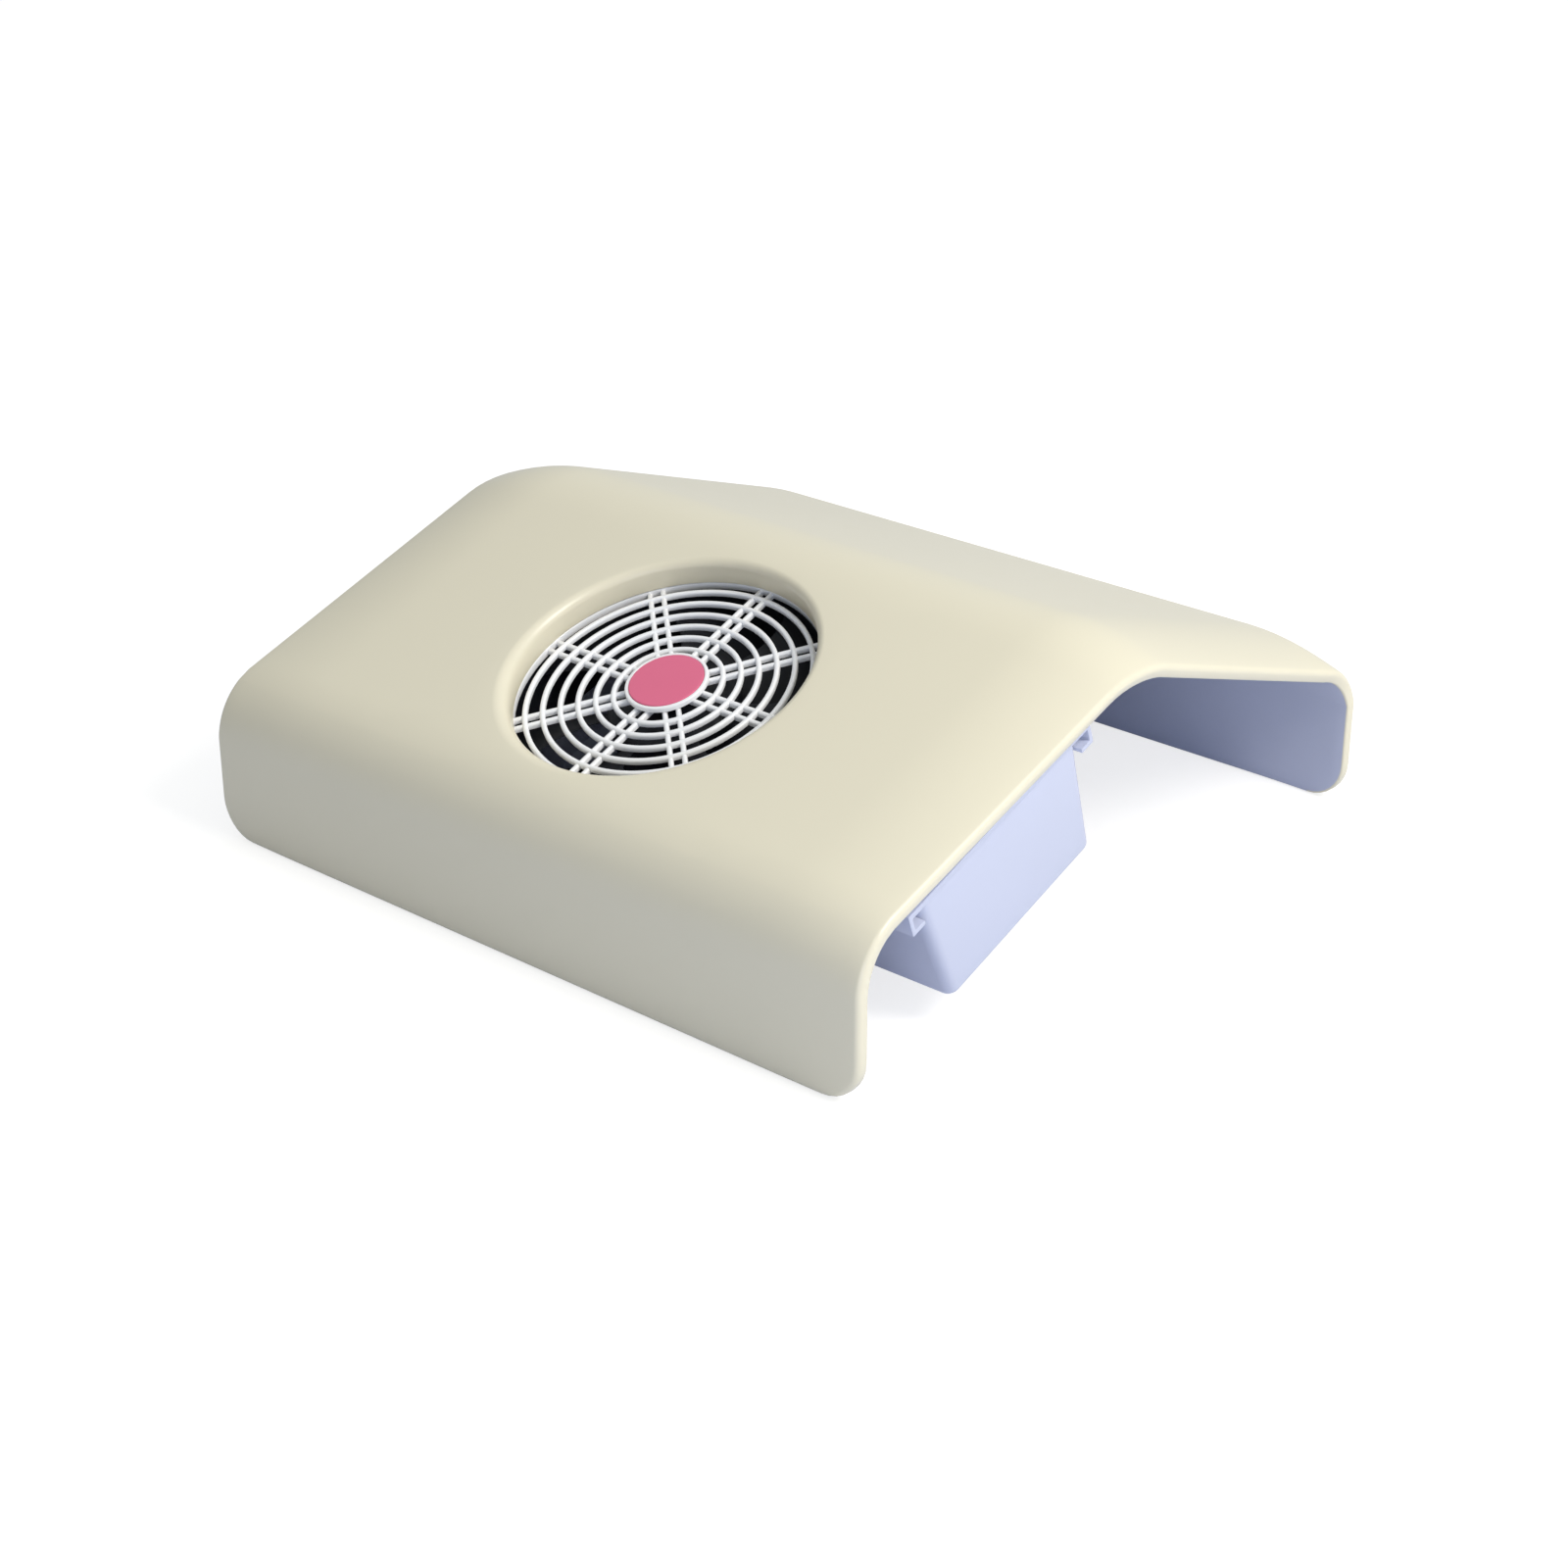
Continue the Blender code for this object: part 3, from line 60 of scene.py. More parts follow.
# Camera, world and floor
CAMERA_PLACE = (0.64371, -0.76126, 0.48679)
CAMERA_TARGET = (0.03436, -0.04571, 0.04)
LENS_MM = 68.39
SENSOR_MM = 36
BRIGHT_SIDE = (0.42, 0.72, 0.55)
STUDIO_COLOUR = (0.90, 0.95, 1.0, 1)
STUDIO_DIM = 0.06
STUDIO_BRIGHT = 0.90
FLOOR_REACH = 6.0
FLOOR_LEVEL = -0.0004
FLOOR_CAST = (0.76, 0.78, 0.86, 1)
FLOOR_SHADE = (0.44, 0.43, 0.41, 1)
FLOOR_GLOW = 0.74

# Noise that all surfaces share
CLOUD_DETAIL = 4.0
CLOUD_BLEND = 0.55
POLISH_PER_CLOUD = 5
POLISH_DETAIL = 6.0
GRAIN_DETAIL = 3.0
NOISE_LOW = 0.3
NOISE_HIGH = 0.7
RELIEF_STRENGTH = 0.5
COAT_ROUGHNESS = 0.26

# Mesh detail and clearances
SHARP_DEGREES = 38.0
GRILLE_SHARP_DEGREES = 44.0
WHEEL_SHARP_DEGREES = 50.0
TURNED_SEGMENTS = 96
RIM_SEGMENTS = 144
RING_SEGMENTS = 128
POST_SEGMENTS = 32
ROUND_HOLE_SEGMENTS = 48
SCREW_HOLE_SEGMENTS = 24
SLIVER = 0.000004
SECTION_SLACK = 1e-12
NORMAL_STEP = 0.0001
MITRE_LIMIT = 0.5
BLOCK_RIM_SHARE = 0.8
CORNER_SHARE = 0.3
CUT_OVERRUN = 0.002
GAP = 0.0003
SEAM = 0.0002

# Arched cover
SHELL_WIDTH = 0.300
SHELL_DEPTH = 0.294
FRONT_CORNER_HEIGHT = 0.058
RIDGE_CORNER_HEIGHT = 0.1113
REAR_CORNER_HEIGHT = 0.060
SKIRT_BEND_RADIUS = 0.028
RIDGE_BEND_RADIUS = 0.055
WALL = 0.005
LIP_OUTER_RADIUS = 0.0021
LIP_INNER_RADIUS = 0.0008
SKIRT_CORNER_RADIUS = 0.015
CORNER_STEPS = 8
CORNER_INSET_SHARES = (0.7, 0.42)
LIP_OUTER_STEPS = 7
LIP_INNER_STEPS = 3
CROWN_FLAT_HALF_WIDTH = 0.110
FRONT_CROWN_DROP = 0.003
RIDGE_CROWN_DROP = 0.009
SKIRT_DROP_SHARE = 0.15
MOUTH_RISE_ALONG_SLOPE = 0.0025
MOUTH_RADIUS = 0.055
MOUTH_ROLL_HIGH = 0.0030
MOUTH_ROLL_LOW = 0.0062
MOUTH_ROLL_STEPS = 12
MOUTH_DEPTH = 0.010
MOUTH_LIP = 0.0005
COLLAR_RADIUS = 0.065
COLLAR_FILLET = 0.0010
PATCH_HALF_WIDTH = 0.078
PATCH_HALF_LENGTH = 0.070
PATCH_NODES = 36
PATCH_BLEND_SHARES = (0.72, 0.45, 0.2)
FLAT_COLUMNS = 3
CROWN_COLUMNS = 9
SKIRT_ROWS = 3
FRONT_BEND_ROWS = 18
RIDGE_ROWS = 8
REAR_SLOPE_ROWS = 5
REAR_BEND_ROWS = 26
POST_RADIUS = 0.0045
POST_ROUNDING = 0.0005
POST_HOLE_OVERRUN = 0.001

# Grille
GRILLE_RADIUS = 0.0587
GRILLE_THICKNESS = 0.003
GRILLE_RIM_WIDTH = 0.0033
RING_COUNT = 6
FIRST_RING_RADIUS = 0.0196
RING_PITCH = 0.00637
RING_WIDTH = 0.0019
RING_THICKNESS = 0.0021
SPOKE_COUNT = 8
SPOKE_BAR_WIDTH = 0.0018
SPOKE_BAR_SPACING = 0.0048
SPOKE_SINK = 0.0004
HUB_RADIUS = 0.0150
HUB_RISE = 0.0015
HUB_PLATE = 0.0022
HUB_CORE_RADIUS = 0.0115
BADGE_RADIUS = 0.0135
BADGE_THICKNESS = 0.0007
BADGE_RECESS = 0.0008
BADGE_BULGE = 0.00015
BADGE_BULGE_SHARES = (0.25, 0.5, 0.75, 0.92)
BADGE_EDGE_SHARE = 0.4
GRILLE_EDGE = 0.0004
HUB_EDGE = 0.0005
HUB_WELL_EDGE_SHARE = 0.4
RING_TOP_SHARE = 0.46
RING_LOW_SHARE = 0.6
SPOKE_START_SHARE = 0.6
SPOKE_TOP_SHARE = 0.85

# Fan
FAN_HEIGHT = 0.025
GASKET_THICKNESS = 0.0015
GASKET_INNER_RADIUS = 0.0577
GASKET_OUTER_RADIUS = 0.0642
GASKET_EDGE = 0.0005
FAN_BORE_RADIUS = 0.058
FAN_HOLE_PITCH = 0.105
FAN_SCREW_RADIUS = 0.0019
SMALL_SCREW_RADIUS = 0.0014
MOTOR_BASE_THICKNESS = 0.0030
WHEEL_HUB_RADIUS = 0.024
WHEEL_HUB_WALL = 0.0015
WHEEL_HUB_ROUNDING = 0.0025
WHEEL_TOP_INSET = 0.0015
WHEEL_EDGE = 0.0003
WHEEL_GROOVE_RADIUS = 0.0172
WHEEL_GROOVE_TOP = 0.0012
WHEEL_GROOVE_FLOOR = 0.0006
WHEEL_BOSS_RADIUS = 0.0036
WHEEL_BOSS_HEIGHT = 0.0040
SHAFT_RADIUS = 0.0015
RUNNING_GAP = 0.0001
BLADE_COUNT = 7
BLADE_TIP_GAP = 0.0012
BLADE_THICKNESS = 0.0014
BLADE_ROOT_HEIGHT = 0.0155
BLADE_TIP_HEIGHT = 0.0130
BLADE_CAMBER = 0.0016
BLADE_ROOT_WRAP_DEGREES = 44.0
BLADE_TIP_WRAP_DEGREES = 38.0
BLADE_SWEEP_DEGREES = 14.0
BLADE_SPANS = 10
BLADE_CHORDS = 14
BLADE_FULLNESS = 5
BLADE_NEARBY = 0.01

# Boxes under the slope
BOX_TOP_DEPTH = 0.0208
BOX_BOTTOM_DEPTH = 0.0650
BOX_BOTTOM_WIDTH = 0.0806
BOX_TOP_WIDTH = 0.0872
BOX_CORNER_RADIUS = 0.004
BOX_WALL = 0.002
BOX_FLOOR = 0.0024
BOX_END = 0.141
DRAWER_START = 0.0668
FLANGE_WIDTH = 0.0050
FLANGE_THICKNESS = 0.002
FLANGE_DROP = 0.0020
FLANGE_END_INSET = 0.0015
SPOUT_WIDTH = 0.078
SPOUT_LOW_DEPTH = 0.0585
SPOUT_HIGH_DEPTH = 0.0446
DUCT_WALL = 0.0022
SLOT_COUNT = 7
SLOT_LENGTH = 0.056
SLOT_WIDTH = 0.003
SLOT_PITCH = 0.009
FILTER_THICKNESS = 0.003
SLIDING_GAP = 0.0006
HANGER_PLATE = 0.0022
CHANNEL_WEB = 0.0018
CHANNEL_LIP = 0.0018
HANGER_END = 0.1420
HANGER_EAR_RADIUS = 0.0045
HANGER_EAR_THICKNESS = 0.0025
HANGER_EAR_OUT = 0.0038
HANGER_EAR_PLACES = (0.078, 0.103)
CONTROL_START = 0.0680
CONTROL_COVER = 0.0022
CORNER_BOSS_RADIUS = 0.0034
CORNER_BOSS_INSET = 0.0062
SMALL_SCREW_LENGTH = 0.010
BOX_POST_X = 0.092
BOX_POST_Y = 0.024
SWITCH_Y = -0.017
SWITCH_DEPTH = 0.0430
SWITCH_BODY = (0.0150, 0.0124, 0.0190)
JACK_Y = 0.020
JACK_RADIUS = 0.0054
LEAD_HOLE_RADIUS = 0.0022
LEAD_Y = -0.024
LEAD_DEPTH = 0.0380
PAD_WALL_GAPS = 5
FLANGE_EDGE = 0.0005
SLOT_END_SHARE = 0.49
CHANNEL_CORNER = 0.0004
CHANNEL_CORNER_SHARE = 0.29
CHANNEL_END_EDGE = 0.0003
HANGER_EAR_EDGE = 0.0004
EAR_ROOT_SHARE = 0.9
EAR_ROOT_SEAMS = 1.5
BOX_CORNER_STEPS = 7
SMALLEST_CORNER_RADIUS = 0.0006

# (radius, steps) of the boxes' rounded rims and inner corners
DRAWER_BASE_TURN = (0.0022, 5)
DRAWER_RIM_TURN = (0.0006, 3)
DRAWER_NOOK_TURN = (0.0015, 4)
PAD_TURN = (0.0010, 3)
CONTROL_TOP_TURN = (0.0015, 4)
CONTROL_RIM_TURN = (0.0004, 2)
CONTROL_NOOK_TURN = (0.0012, 3)
LID_LOW_TURN = (0.0009, 3)
LID_HIGH_TURN = (0.0003, 2)

half_width = SHELL_WIDTH / 2
half_depth = SHELL_DEPTH / 2
slope_angle = math.atan2(RIDGE_CORNER_HEIGHT - FRONT_CORNER_HEIGHT, half_depth)
along_slope = Vector((0, math.cos(slope_angle), math.sin(slope_angle)))
slope_middle = Vector((0, -half_depth / 2, (FRONT_CORNER_HEIGHT + RIDGE_CORNER_HEIGHT) / 2))
slope_origin = slope_middle + along_slope * MOUTH_RISE_ALONG_SLOPE
slope = Matrix.Translation(slope_origin) @ Matrix.Rotation(slope_angle, 4, "X")
from_world = slope.inverted()

grille_top = -(MOUTH_DEPTH + GAP)
grille_bottom = grille_top - GRILLE_THICKNESS
collar_bottom = grille_bottom - GAP
gasket_top = collar_bottom - GAP
gasket_bottom = gasket_top - GASKET_THICKNESS
fan_top = gasket_bottom - GAP
fan_bottom = fan_top - FAN_HEIGHT
post_bottom = fan_top + GAP
box_top = -BOX_TOP_DEPTH
box_bottom = -BOX_BOTTOM_DEPTH
hanger_bottom = box_top + GAP
hanger_top = hanger_bottom + HANGER_PLATE
fan_hole = FAN_HOLE_PITCH / 2
fan_corners = [(x, y) for x in (-fan_hole, fan_hole) for y in (-fan_hole, fan_hole)]


def box_half_width(level):
    rise = (level - box_bottom) / (box_top - box_bottom)
    return (BOX_BOTTOM_WIDTH + (BOX_TOP_WIDTH - BOX_BOTTOM_WIDTH) * rise) / 2


flange_top = box_top - FLANGE_DROP
flange_bottom = flange_top - FLANGE_THICKNESS
flange_tip = box_half_width(flange_top) + FLANGE_WIDTH
channel_inside = flange_tip + GAP
channel_outside = channel_inside + CHANNEL_WEB
hanger_ear_y = channel_outside + HANGER_EAR_OUT
hanger_places = [(x, side * hanger_ear_y) for x in HANGER_EAR_PLACES for side in (-1, 1)]
hanger_ear_top = hanger_bottom + HANGER_EAR_THICKNESS - SEAM
control_post_places = [(-BOX_POST_X, -BOX_POST_Y), (-BOX_POST_X, BOX_POST_Y)]
small_bore = SMALL_SCREW_RADIUS + GAP

# Camera, lamps, world and floor
scene = bpy.context.scene
scene.view_settings.view_transform = "Standard"


def placed(name, data, place, target):
    """Camera or lamp at a place, looking at its target."""
    made = bpy.data.objects.new(name, data)
    made.location = place
    made.rotation_euler = (Vector(target) - Vector(place)).to_track_quat("-Z", "Y").to_euler()
    scene.collection.objects.link(made)
    return made


def lamp(name, place, target, size, power, colour):
    light = bpy.data.lights.new(name, "AREA")
    light.shape = "DISK"
    light.size = size
    light.energy = power
    light.color = colour
    placed(name, light, place, target)


scene.camera = placed("camera", bpy.data.cameras.new("camera"), CAMERA_PLACE, CAMERA_TARGET)
scene.camera.data.sensor_width = SENSOR_MM
scene.camera.data.lens = LENS_MM
lamp("key", place=(1.08, 0.06, 1.14), target=(0, 0, 0.05), size=0.60, power=13.8, colour=(1.0, 0.975, 0.93))
lamp("fill", place=(0.50, -0.62, 0.13), target=(0.08, -0.12, 0.03), size=0.36, power=0.75,
     colour=(0.56, 0.68, 1.0))


def with_values(node, **values):
    """The node with the named inputs set. A name has _ where the input's has a space."""
    for name, value in values.items():
        node.inputs[name.replace("_", " ")].default_value = value
    return node


def new_node(tree, kind, **values):
    return with_values(tree.nodes.new(f"ShaderNode{kind}"), **values)


def link(tree, *pairs):
    for source, target in pairs:
        tree.links.new(source, target)


def make_world():
    """White behind the object, and a soft studio that is brighter behind it than in front."""
    scene.world = bpy.data.worlds.new("studio")
    scene.world.use_nodes = True
    tree = scene.world.node_tree
    tree.nodes.clear()
    view = new_node(tree, "TexCoord")
    side = new_node(tree, "VectorMath")
    side.operation = "DOT_PRODUCT"
    side.inputs[1].default_value = BRIGHT_SIDE
    level = new_node(tree, "MapRange", From_Min=-1.0, To_Min=STUDIO_DIM, To_Max=STUDIO_BRIGHT)
    soft = new_node(tree, "Background", Color=STUDIO_COLOUR)
    white = new_node(tree, "Background", Color=(1, 1, 1, 1), Strength=1.0)
    path = new_node(tree, "LightPath")
    mix = new_node(tree, "MixShader")
    out = new_node(tree, "OutputWorld")
    link(tree, (view.outputs["Generated"], side.inputs[0]), (side.outputs["Value"], level.inputs["Value"]),
         (level.outputs["Result"], soft.inputs["Strength"]),
         (path.outputs["Is Camera Ray"], mix.inputs["Fac"]), (soft.outputs[0], mix.inputs[1]),
         (white.outputs[0], mix.inputs[2]), (mix.outputs[0], out.inputs["Surface"]))


def make_floor():
    """White floor that takes the shadow and is clear from below, so the underside can be seen."""
    mesh = bpy.data.meshes.new("floor")
    corners = [(x * FLOOR_REACH, y * FLOOR_REACH, 0) for x, y in ((-1, -1), (1, -1), (1, 1), (-1, 1))]
    mesh.from_pydata(corners, [], [(0, 1, 2, 3)])
    floor = bpy.data.objects.new("floor", mesh)
    floor.location.z = FLOOR_LEVEL
    scene.collection.objects.link(floor)
    paint = bpy.data.materials.new("white_floor")
    paint.use_nodes = True
    tree = paint.node_tree
    tree.nodes.clear()
    cast = new_node(tree, "BsdfDiffuse", Color=FLOOR_CAST)
    shade = new_node(tree, "BsdfDiffuse", Color=FLOOR_SHADE)
    glow = new_node(tree, "Emission", Strength=FLOOR_GLOW)
    path = new_node(tree, "LightPath")
    side = new_node(tree, "NewGeometry")
    clear = new_node(tree, "BsdfTransparent")
    add = new_node(tree, "AddShader")
    mix = new_node(tree, "MixShader")
    under = new_node(tree, "MixShader")
    out = new_node(tree, "OutputMaterial")
    link(tree, (shade.outputs[0], add.inputs[0]), (glow.outputs[0], add.inputs[1]),
         (path.outputs["Is Camera Ray"], mix.inputs["Fac"]), (cast.outputs[0], mix.inputs[1]),
         (add.outputs[0], mix.inputs[2]), (side.outputs["Backfacing"], under.inputs["Fac"]),
         (mix.outputs[0], under.inputs[1]), (clear.outputs[0], under.inputs[2]),
         (under.outputs[0], out.inputs["Surface"]))
    mesh.materials.append(paint)


make_world()
make_floor()


# Materials
def surface(name, colour, spread, rough, rough_spread, grain, bump, metallic=0.0, coat=0.0, cloud=24.0,
            sheen=0.0):
    """Moulded or turned surface: cloudy colour, uneven polish and a fine grain."""
    made = bpy.data.materials.new(name)
    made.use_nodes = True
    tree = made.node_tree
    shader = with_values(tree.nodes["Principled BSDF"], Metallic=metallic, Coat_Weight=coat,
                         Coat_Roughness=COAT_ROUGHNESS, Sheen_Weight=sheen)
    place = new_node(tree, "TexCoord")
    clouds = new_node(tree, "TexNoise", Scale=cloud, Detail=CLOUD_DETAIL, Roughness=CLOUD_BLEND)
    polish = new_node(tree, "TexNoise", Scale=cloud * POLISH_PER_CLOUD, Detail=POLISH_DETAIL)
    fine = new_node(tree, "TexNoise", Scale=grain, Detail=GRAIN_DETAIL)
    tint = new_node(tree, "ValToRGB")
    darker, lighter = tint.color_ramp.elements
    darker.position = NOISE_LOW
    lighter.position = NOISE_HIGH
    darker.color = (*[c * (1 - spread) for c in colour], 1)
    lighter.color = (*[min(1, c * (1 + spread)) for c in colour], 1)
    shine = new_node(tree, "MapRange", From_Min=NOISE_LOW, From_Max=NOISE_HIGH, To_Min=rough - rough_spread,
                     To_Max=rough + rough_spread)
    relief = new_node(tree, "Bump", Strength=RELIEF_STRENGTH, Distance=bump)
    link(tree, *[(place.outputs["Object"], texture.inputs["Vector"]) for texture in (clouds, polish, fine)],
         (clouds.outputs["Fac"], tint.inputs["Fac"]), (tint.outputs["Color"], shader.inputs["Base Color"]),
         (polish.outputs["Fac"], shine.inputs["Value"]),
         (shine.outputs["Result"], shader.inputs["Roughness"]),
         (fine.outputs["Fac"], relief.inputs["Height"]), (relief.outputs["Normal"], shader.inputs["Normal"]))
    return made


cream = surface("cream_gloss", (0.785, 0.725, 0.55), spread=0.006, rough=0.36, rough_spread=0.008,
                grain=700, bump=0.0000015, coat=0.2, cloud=9)
lavender = surface("lavender_plastic", (0.555, 0.58, 0.70), spread=0.01, rough=0.38, rough_spread=0.02,
                   grain=900, bump=0.00001)
white = surface("white_plastic", (0.93, 0.925, 0.92), spread=0.01, rough=0.34, rough_spread=0.02,
                grain=900, bump=0.000008)
pink = surface("pink_label", (0.77, 0.15, 0.26), spread=0.015, rough=0.42, rough_spread=0.03,
               grain=1500, bump=0.00001)
black = surface("black_plastic", (0.008, 0.009, 0.012), spread=0.25, rough=0.45, rough_spread=0.05,
                grain=900, bump=0.00003)
# Dark navy blade plastic, made darker still as painted shade for the blades deep under the grille.
shaded_navy = surface("blade_navy_with_painted_shade", (0.005, 0.006, 0.010), spread=0.25, rough=0.58, rough_spread=0.05,
               grain=900, bump=0.00002)
foam = surface("foam", (0.10, 0.10, 0.11), spread=0.3, rough=0.93, rough_spread=0.04, grain=1600,
               bump=0.0004, cloud=300)
felt = surface("felt", (0.80, 0.80, 0.77), spread=0.08, rough=0.93, rough_spread=0.04, grain=2200,
               bump=0.0004, cloud=260, sheen=0.2)
steel = surface("bright_steel", (0.60, 0.60, 0.62), spread=0.06, rough=0.30, rough_spread=0.07,
                grain=1200, bump=0.00003, metallic=1.0, cloud=120)
core_steel = surface("core_steel", (0.33, 0.33, 0.35), spread=0.15, rough=0.46, rough_spread=0.08,
                     grain=1500, bump=0.00008, metallic=1.0, cloud=150)
copper = surface("enamelled_copper", (0.70, 0.29, 0.12), spread=0.12, rough=0.34, rough_spread=0.08,
                 grain=2500, bump=0.0002, metallic=1.0, cloud=200)
board = surface("board_green", (0.02, 0.15, 0.055), spread=0.2, rough=0.45, rough_spread=0.08,
                grain=900, bump=0.00005, cloud=180)
magnet = surface("bonded_magnet", (0.05, 0.045, 0.045), spread=0.2, rough=0.7, rough_spread=0.08,
                 grain=1400, bump=0.0001, cloud=140)
brass = surface("brass", (0.70, 0.52, 0.23), spread=0.08, rough=0.30, rough_spread=0.07, grain=1200,
                bump=0.00003, metallic=1.0, cloud=140)
rubber = surface("lead_sleeve", (0.014, 0.014, 0.015), spread=0.2, rough=0.5, rough_spread=0.06,
                 grain=1100, bump=0.00006, cloud=150)


# Mesh tools
def smoothed(mesh, degrees):
    mesh.shade_smooth()
    mesh.set_sharp_from_angle(angle=math.radians(degrees))


def finished(name, bm, materials, body=None, replaces=(), slot=None, lay=slope):
    """Object from a closed mesh in the slope's axes, riding on its body in place of the nodes named."""
    if lay is not None:
        bmesh.ops.transform(bm, matrix=lay, verts=bm.verts)
    bmesh.ops.recalc_face_normals(bm, faces=bm.faces)
    mesh = bpy.data.meshes.new(name)
    bm.to_mesh(mesh)
    bm.free()
    smoothed(mesh, SHARP_DEGREES)
    for paint in materials:
        mesh.materials.append(paint)
    made = bpy.data.objects.new(name, mesh)
    scene.collection.objects.link(made)
    if body:
        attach(made, body)
    if replaces:
        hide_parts(*replaces)
    return made


def combined(target, steps, degrees=SHARP_DEGREES):
    """Join and cut a piece with tools made for it, and keep the result without slivers and doubled flaps."""
    groups = []
    for operation, tools in steps:
        group = bpy.data.collections.new(f"{target.name}_tools")
        groups.append(group)
        for tool in tools:
            scene.collection.objects.unlink(tool)
            group.objects.link(tool)
        change = target.modifiers.new(operation.lower(), "BOOLEAN")
        change.operation = operation
        change.solver = "EXACT"
        change.operand_type = "COLLECTION"
        change.collection = group
    graph = bpy.context.evaluated_depsgraph_get()
    mesh = bpy.data.meshes.new_from_object(target.evaluated_get(graph), depsgraph=graph)
    target.modifiers.clear()
    clean = bmesh.new()
    clean.from_mesh(mesh)
    bmesh.ops.remove_doubles(clean, verts=clean.verts, dist=SLIVER)
    bmesh.ops.dissolve_degenerate(clean, dist=SLIVER, edges=clean.edges)
    bmesh.ops.triangulate(clean, faces=clean.faces)
    alike = {}
    for face in clean.faces:
        alike.setdefault(frozenset(face.verts), []).append(face)
    flaps = [face for faces in alike.values() if len(faces) > 1 for face in faces]
    bmesh.ops.delete(clean, geom=flaps, context="FACES")
    clean.to_mesh(mesh)
    clean.free()
    old = target.data
    target.data = mesh
    bpy.data.meshes.remove(old)
    for group in groups:
        for tool in list(group.objects):
            bpy.data.objects.remove(tool)
        bpy.data.collections.remove(group)
    smoothed(mesh, degrees)
    return target


def skin(bm, lower, upper, index=0):
    """Quads between two closed loops of as many points."""
    made = {}
    count = len(lower)
    for i in range(count):
        j = (i + 1) % count
        corners = [lower[i], lower[j], upper[j], upper[i]]
        corners = [v for k, v in enumerate(corners) if v not in corners[:k]]
        if len(corners) > 2:
            made[i] = bm.faces.new(corners)
            made[i].material_index = index
    return made


def turned(name, profile, materials, segments=TURNED_SEGMENTS, place=(0, 0), **kept):
    """Solid of revolution of (radius, height) points, or a ring if they don't start on the slope's Z."""
    bm = bmesh.new()
    angles = [2 * math.pi * i / segments for i in range(segments)]
    loops = []
    for radius, height in profile:
        if radius:
            loops.append([bm.verts.new((radius * math.cos(a), radius * math.sin(a), height)) for a in angles])
        else:
            loops.append([bm.verts.new((0, 0, height))] * segments)
    for lower, upper in zip(loops, loops[1:]):
        skin(bm, lower, upper)
    if profile[0][0]:
        skin(bm, loops[-1], loops[0])
    bmesh.ops.translate(bm, vec=(*place, 0), verts=bm.verts)
    return finished(name, bm, materials, **kept)


def rod(name, place, radius, low, high, materials, segments=SCREW_HOLE_SEGMENTS):
    """Plain cylinder along the slope's Z, for a post or to cut a hole."""
    return turned(name, [(0, low), (radius, low), (radius, high), (0, high)], materials, segments, place)


def arc(centre, radius, start, end, steps):
    angles = [math.radians(start + (end - start) * i / steps) for i in range(steps + 1)]
    return [(centre[0] + radius * math.cos(a), centre[1] + radius * math.sin(a)) for a in angles]


def circle(centre, radius, segments):
    return arc(centre, radius, 0, 360 - 360 / segments, segments - 1)


def rounded_rectangle(width, height, radius, steps, centre):
    across = width / 2 - radius
    up = height / 2 - radius
    points = []
    for turn, (sx, sy) in enumerate(((1, 1), (-1, 1), (-1, -1), (1, -1))):
        corner = (centre[0] + sx * across, centre[1] + sy * up)
        points += arc(corner, radius, 90 * turn, 90 * turn + 90, steps)
    return points


def rounded_ring(inner, outer, low, high, top_radius, low_radius, top_steps=4, low_steps=2):
    """Profile of a ring with rounded edges."""
    return (arc((outer - top_radius, high - top_radius), top_radius, 0, 90, top_steps)
            + arc((inner + top_radius, high - top_radius), top_radius, 90, 180, top_steps)
            + arc((inner + low_radius, low + low_radius), low_radius, 180, 270, low_steps)
            + arc((outer - low_radius, low + low_radius), low_radius, 270, 360, low_steps))


def quarter_turn(radius, steps):
    """(inset, rise) round an edge, from its face's border to its side."""
    return [(radius * (1 - math.sin(a)), radius * (1 - math.cos(a)))
            for a in (math.pi / 2 * i / steps for i in range(steps + 1))]


def rounded_levels(low, high, low_turn, high_turn):
    """(level, inset) of the loops of an upright side with a rounded edge below and above."""
    return ([(low + rise, inset) for inset, rise in quarter_turn(*low_turn)]
            + [(high - rise, inset) for inset, rise in reversed(quarter_turn(*high_turn))])


def extruded(name, outline, low, high, materials, edge=0.0, steps=3, turn=None, **kept):
    """Plate from an outline in the XY plane, with its rims rounded by edge."""
    bm = bmesh.new()
    count = len(outline)
    area = sum(outline[i - 1][0] * outline[i][1] - outline[i][0] * outline[i - 1][1] for i in range(count))
    points = outline if area > 0 else outline[::-1]
    inward = []
    for i in range(count):
        before = (Vector(points[i]) - Vector(points[i - 1])).normalized()
        after = (Vector(points[(i + 1) % count]) - Vector(points[i])).normalized()
        normal = Vector((-before.y, before.x)) + Vector((-after.y, after.x))
        normal.normalize()
        reach = max(MITRE_LIMIT, normal.dot(Vector((-before.y, before.x))))
        inward.append(normal / reach)
    levels = rounded_levels(low, high, (edge, steps), (edge, steps)) if edge else [(low, 0), (high, 0)]
    loops = []
    for level, inset in levels:
        loops.append([bm.verts.new((*(Vector(p) + n * inset), level)) for p, n in zip(points, inward)])
    for lower, upper in zip(loops, loops[1:]):
        skin(bm, lower, upper)
    bm.faces.new(loops[0])
    bm.faces.new(loops[-1])
    if turn is not None:
        bmesh.ops.transform(bm, matrix=turn, verts=bm.verts)
    return finished(name, bm, materials, **kept)


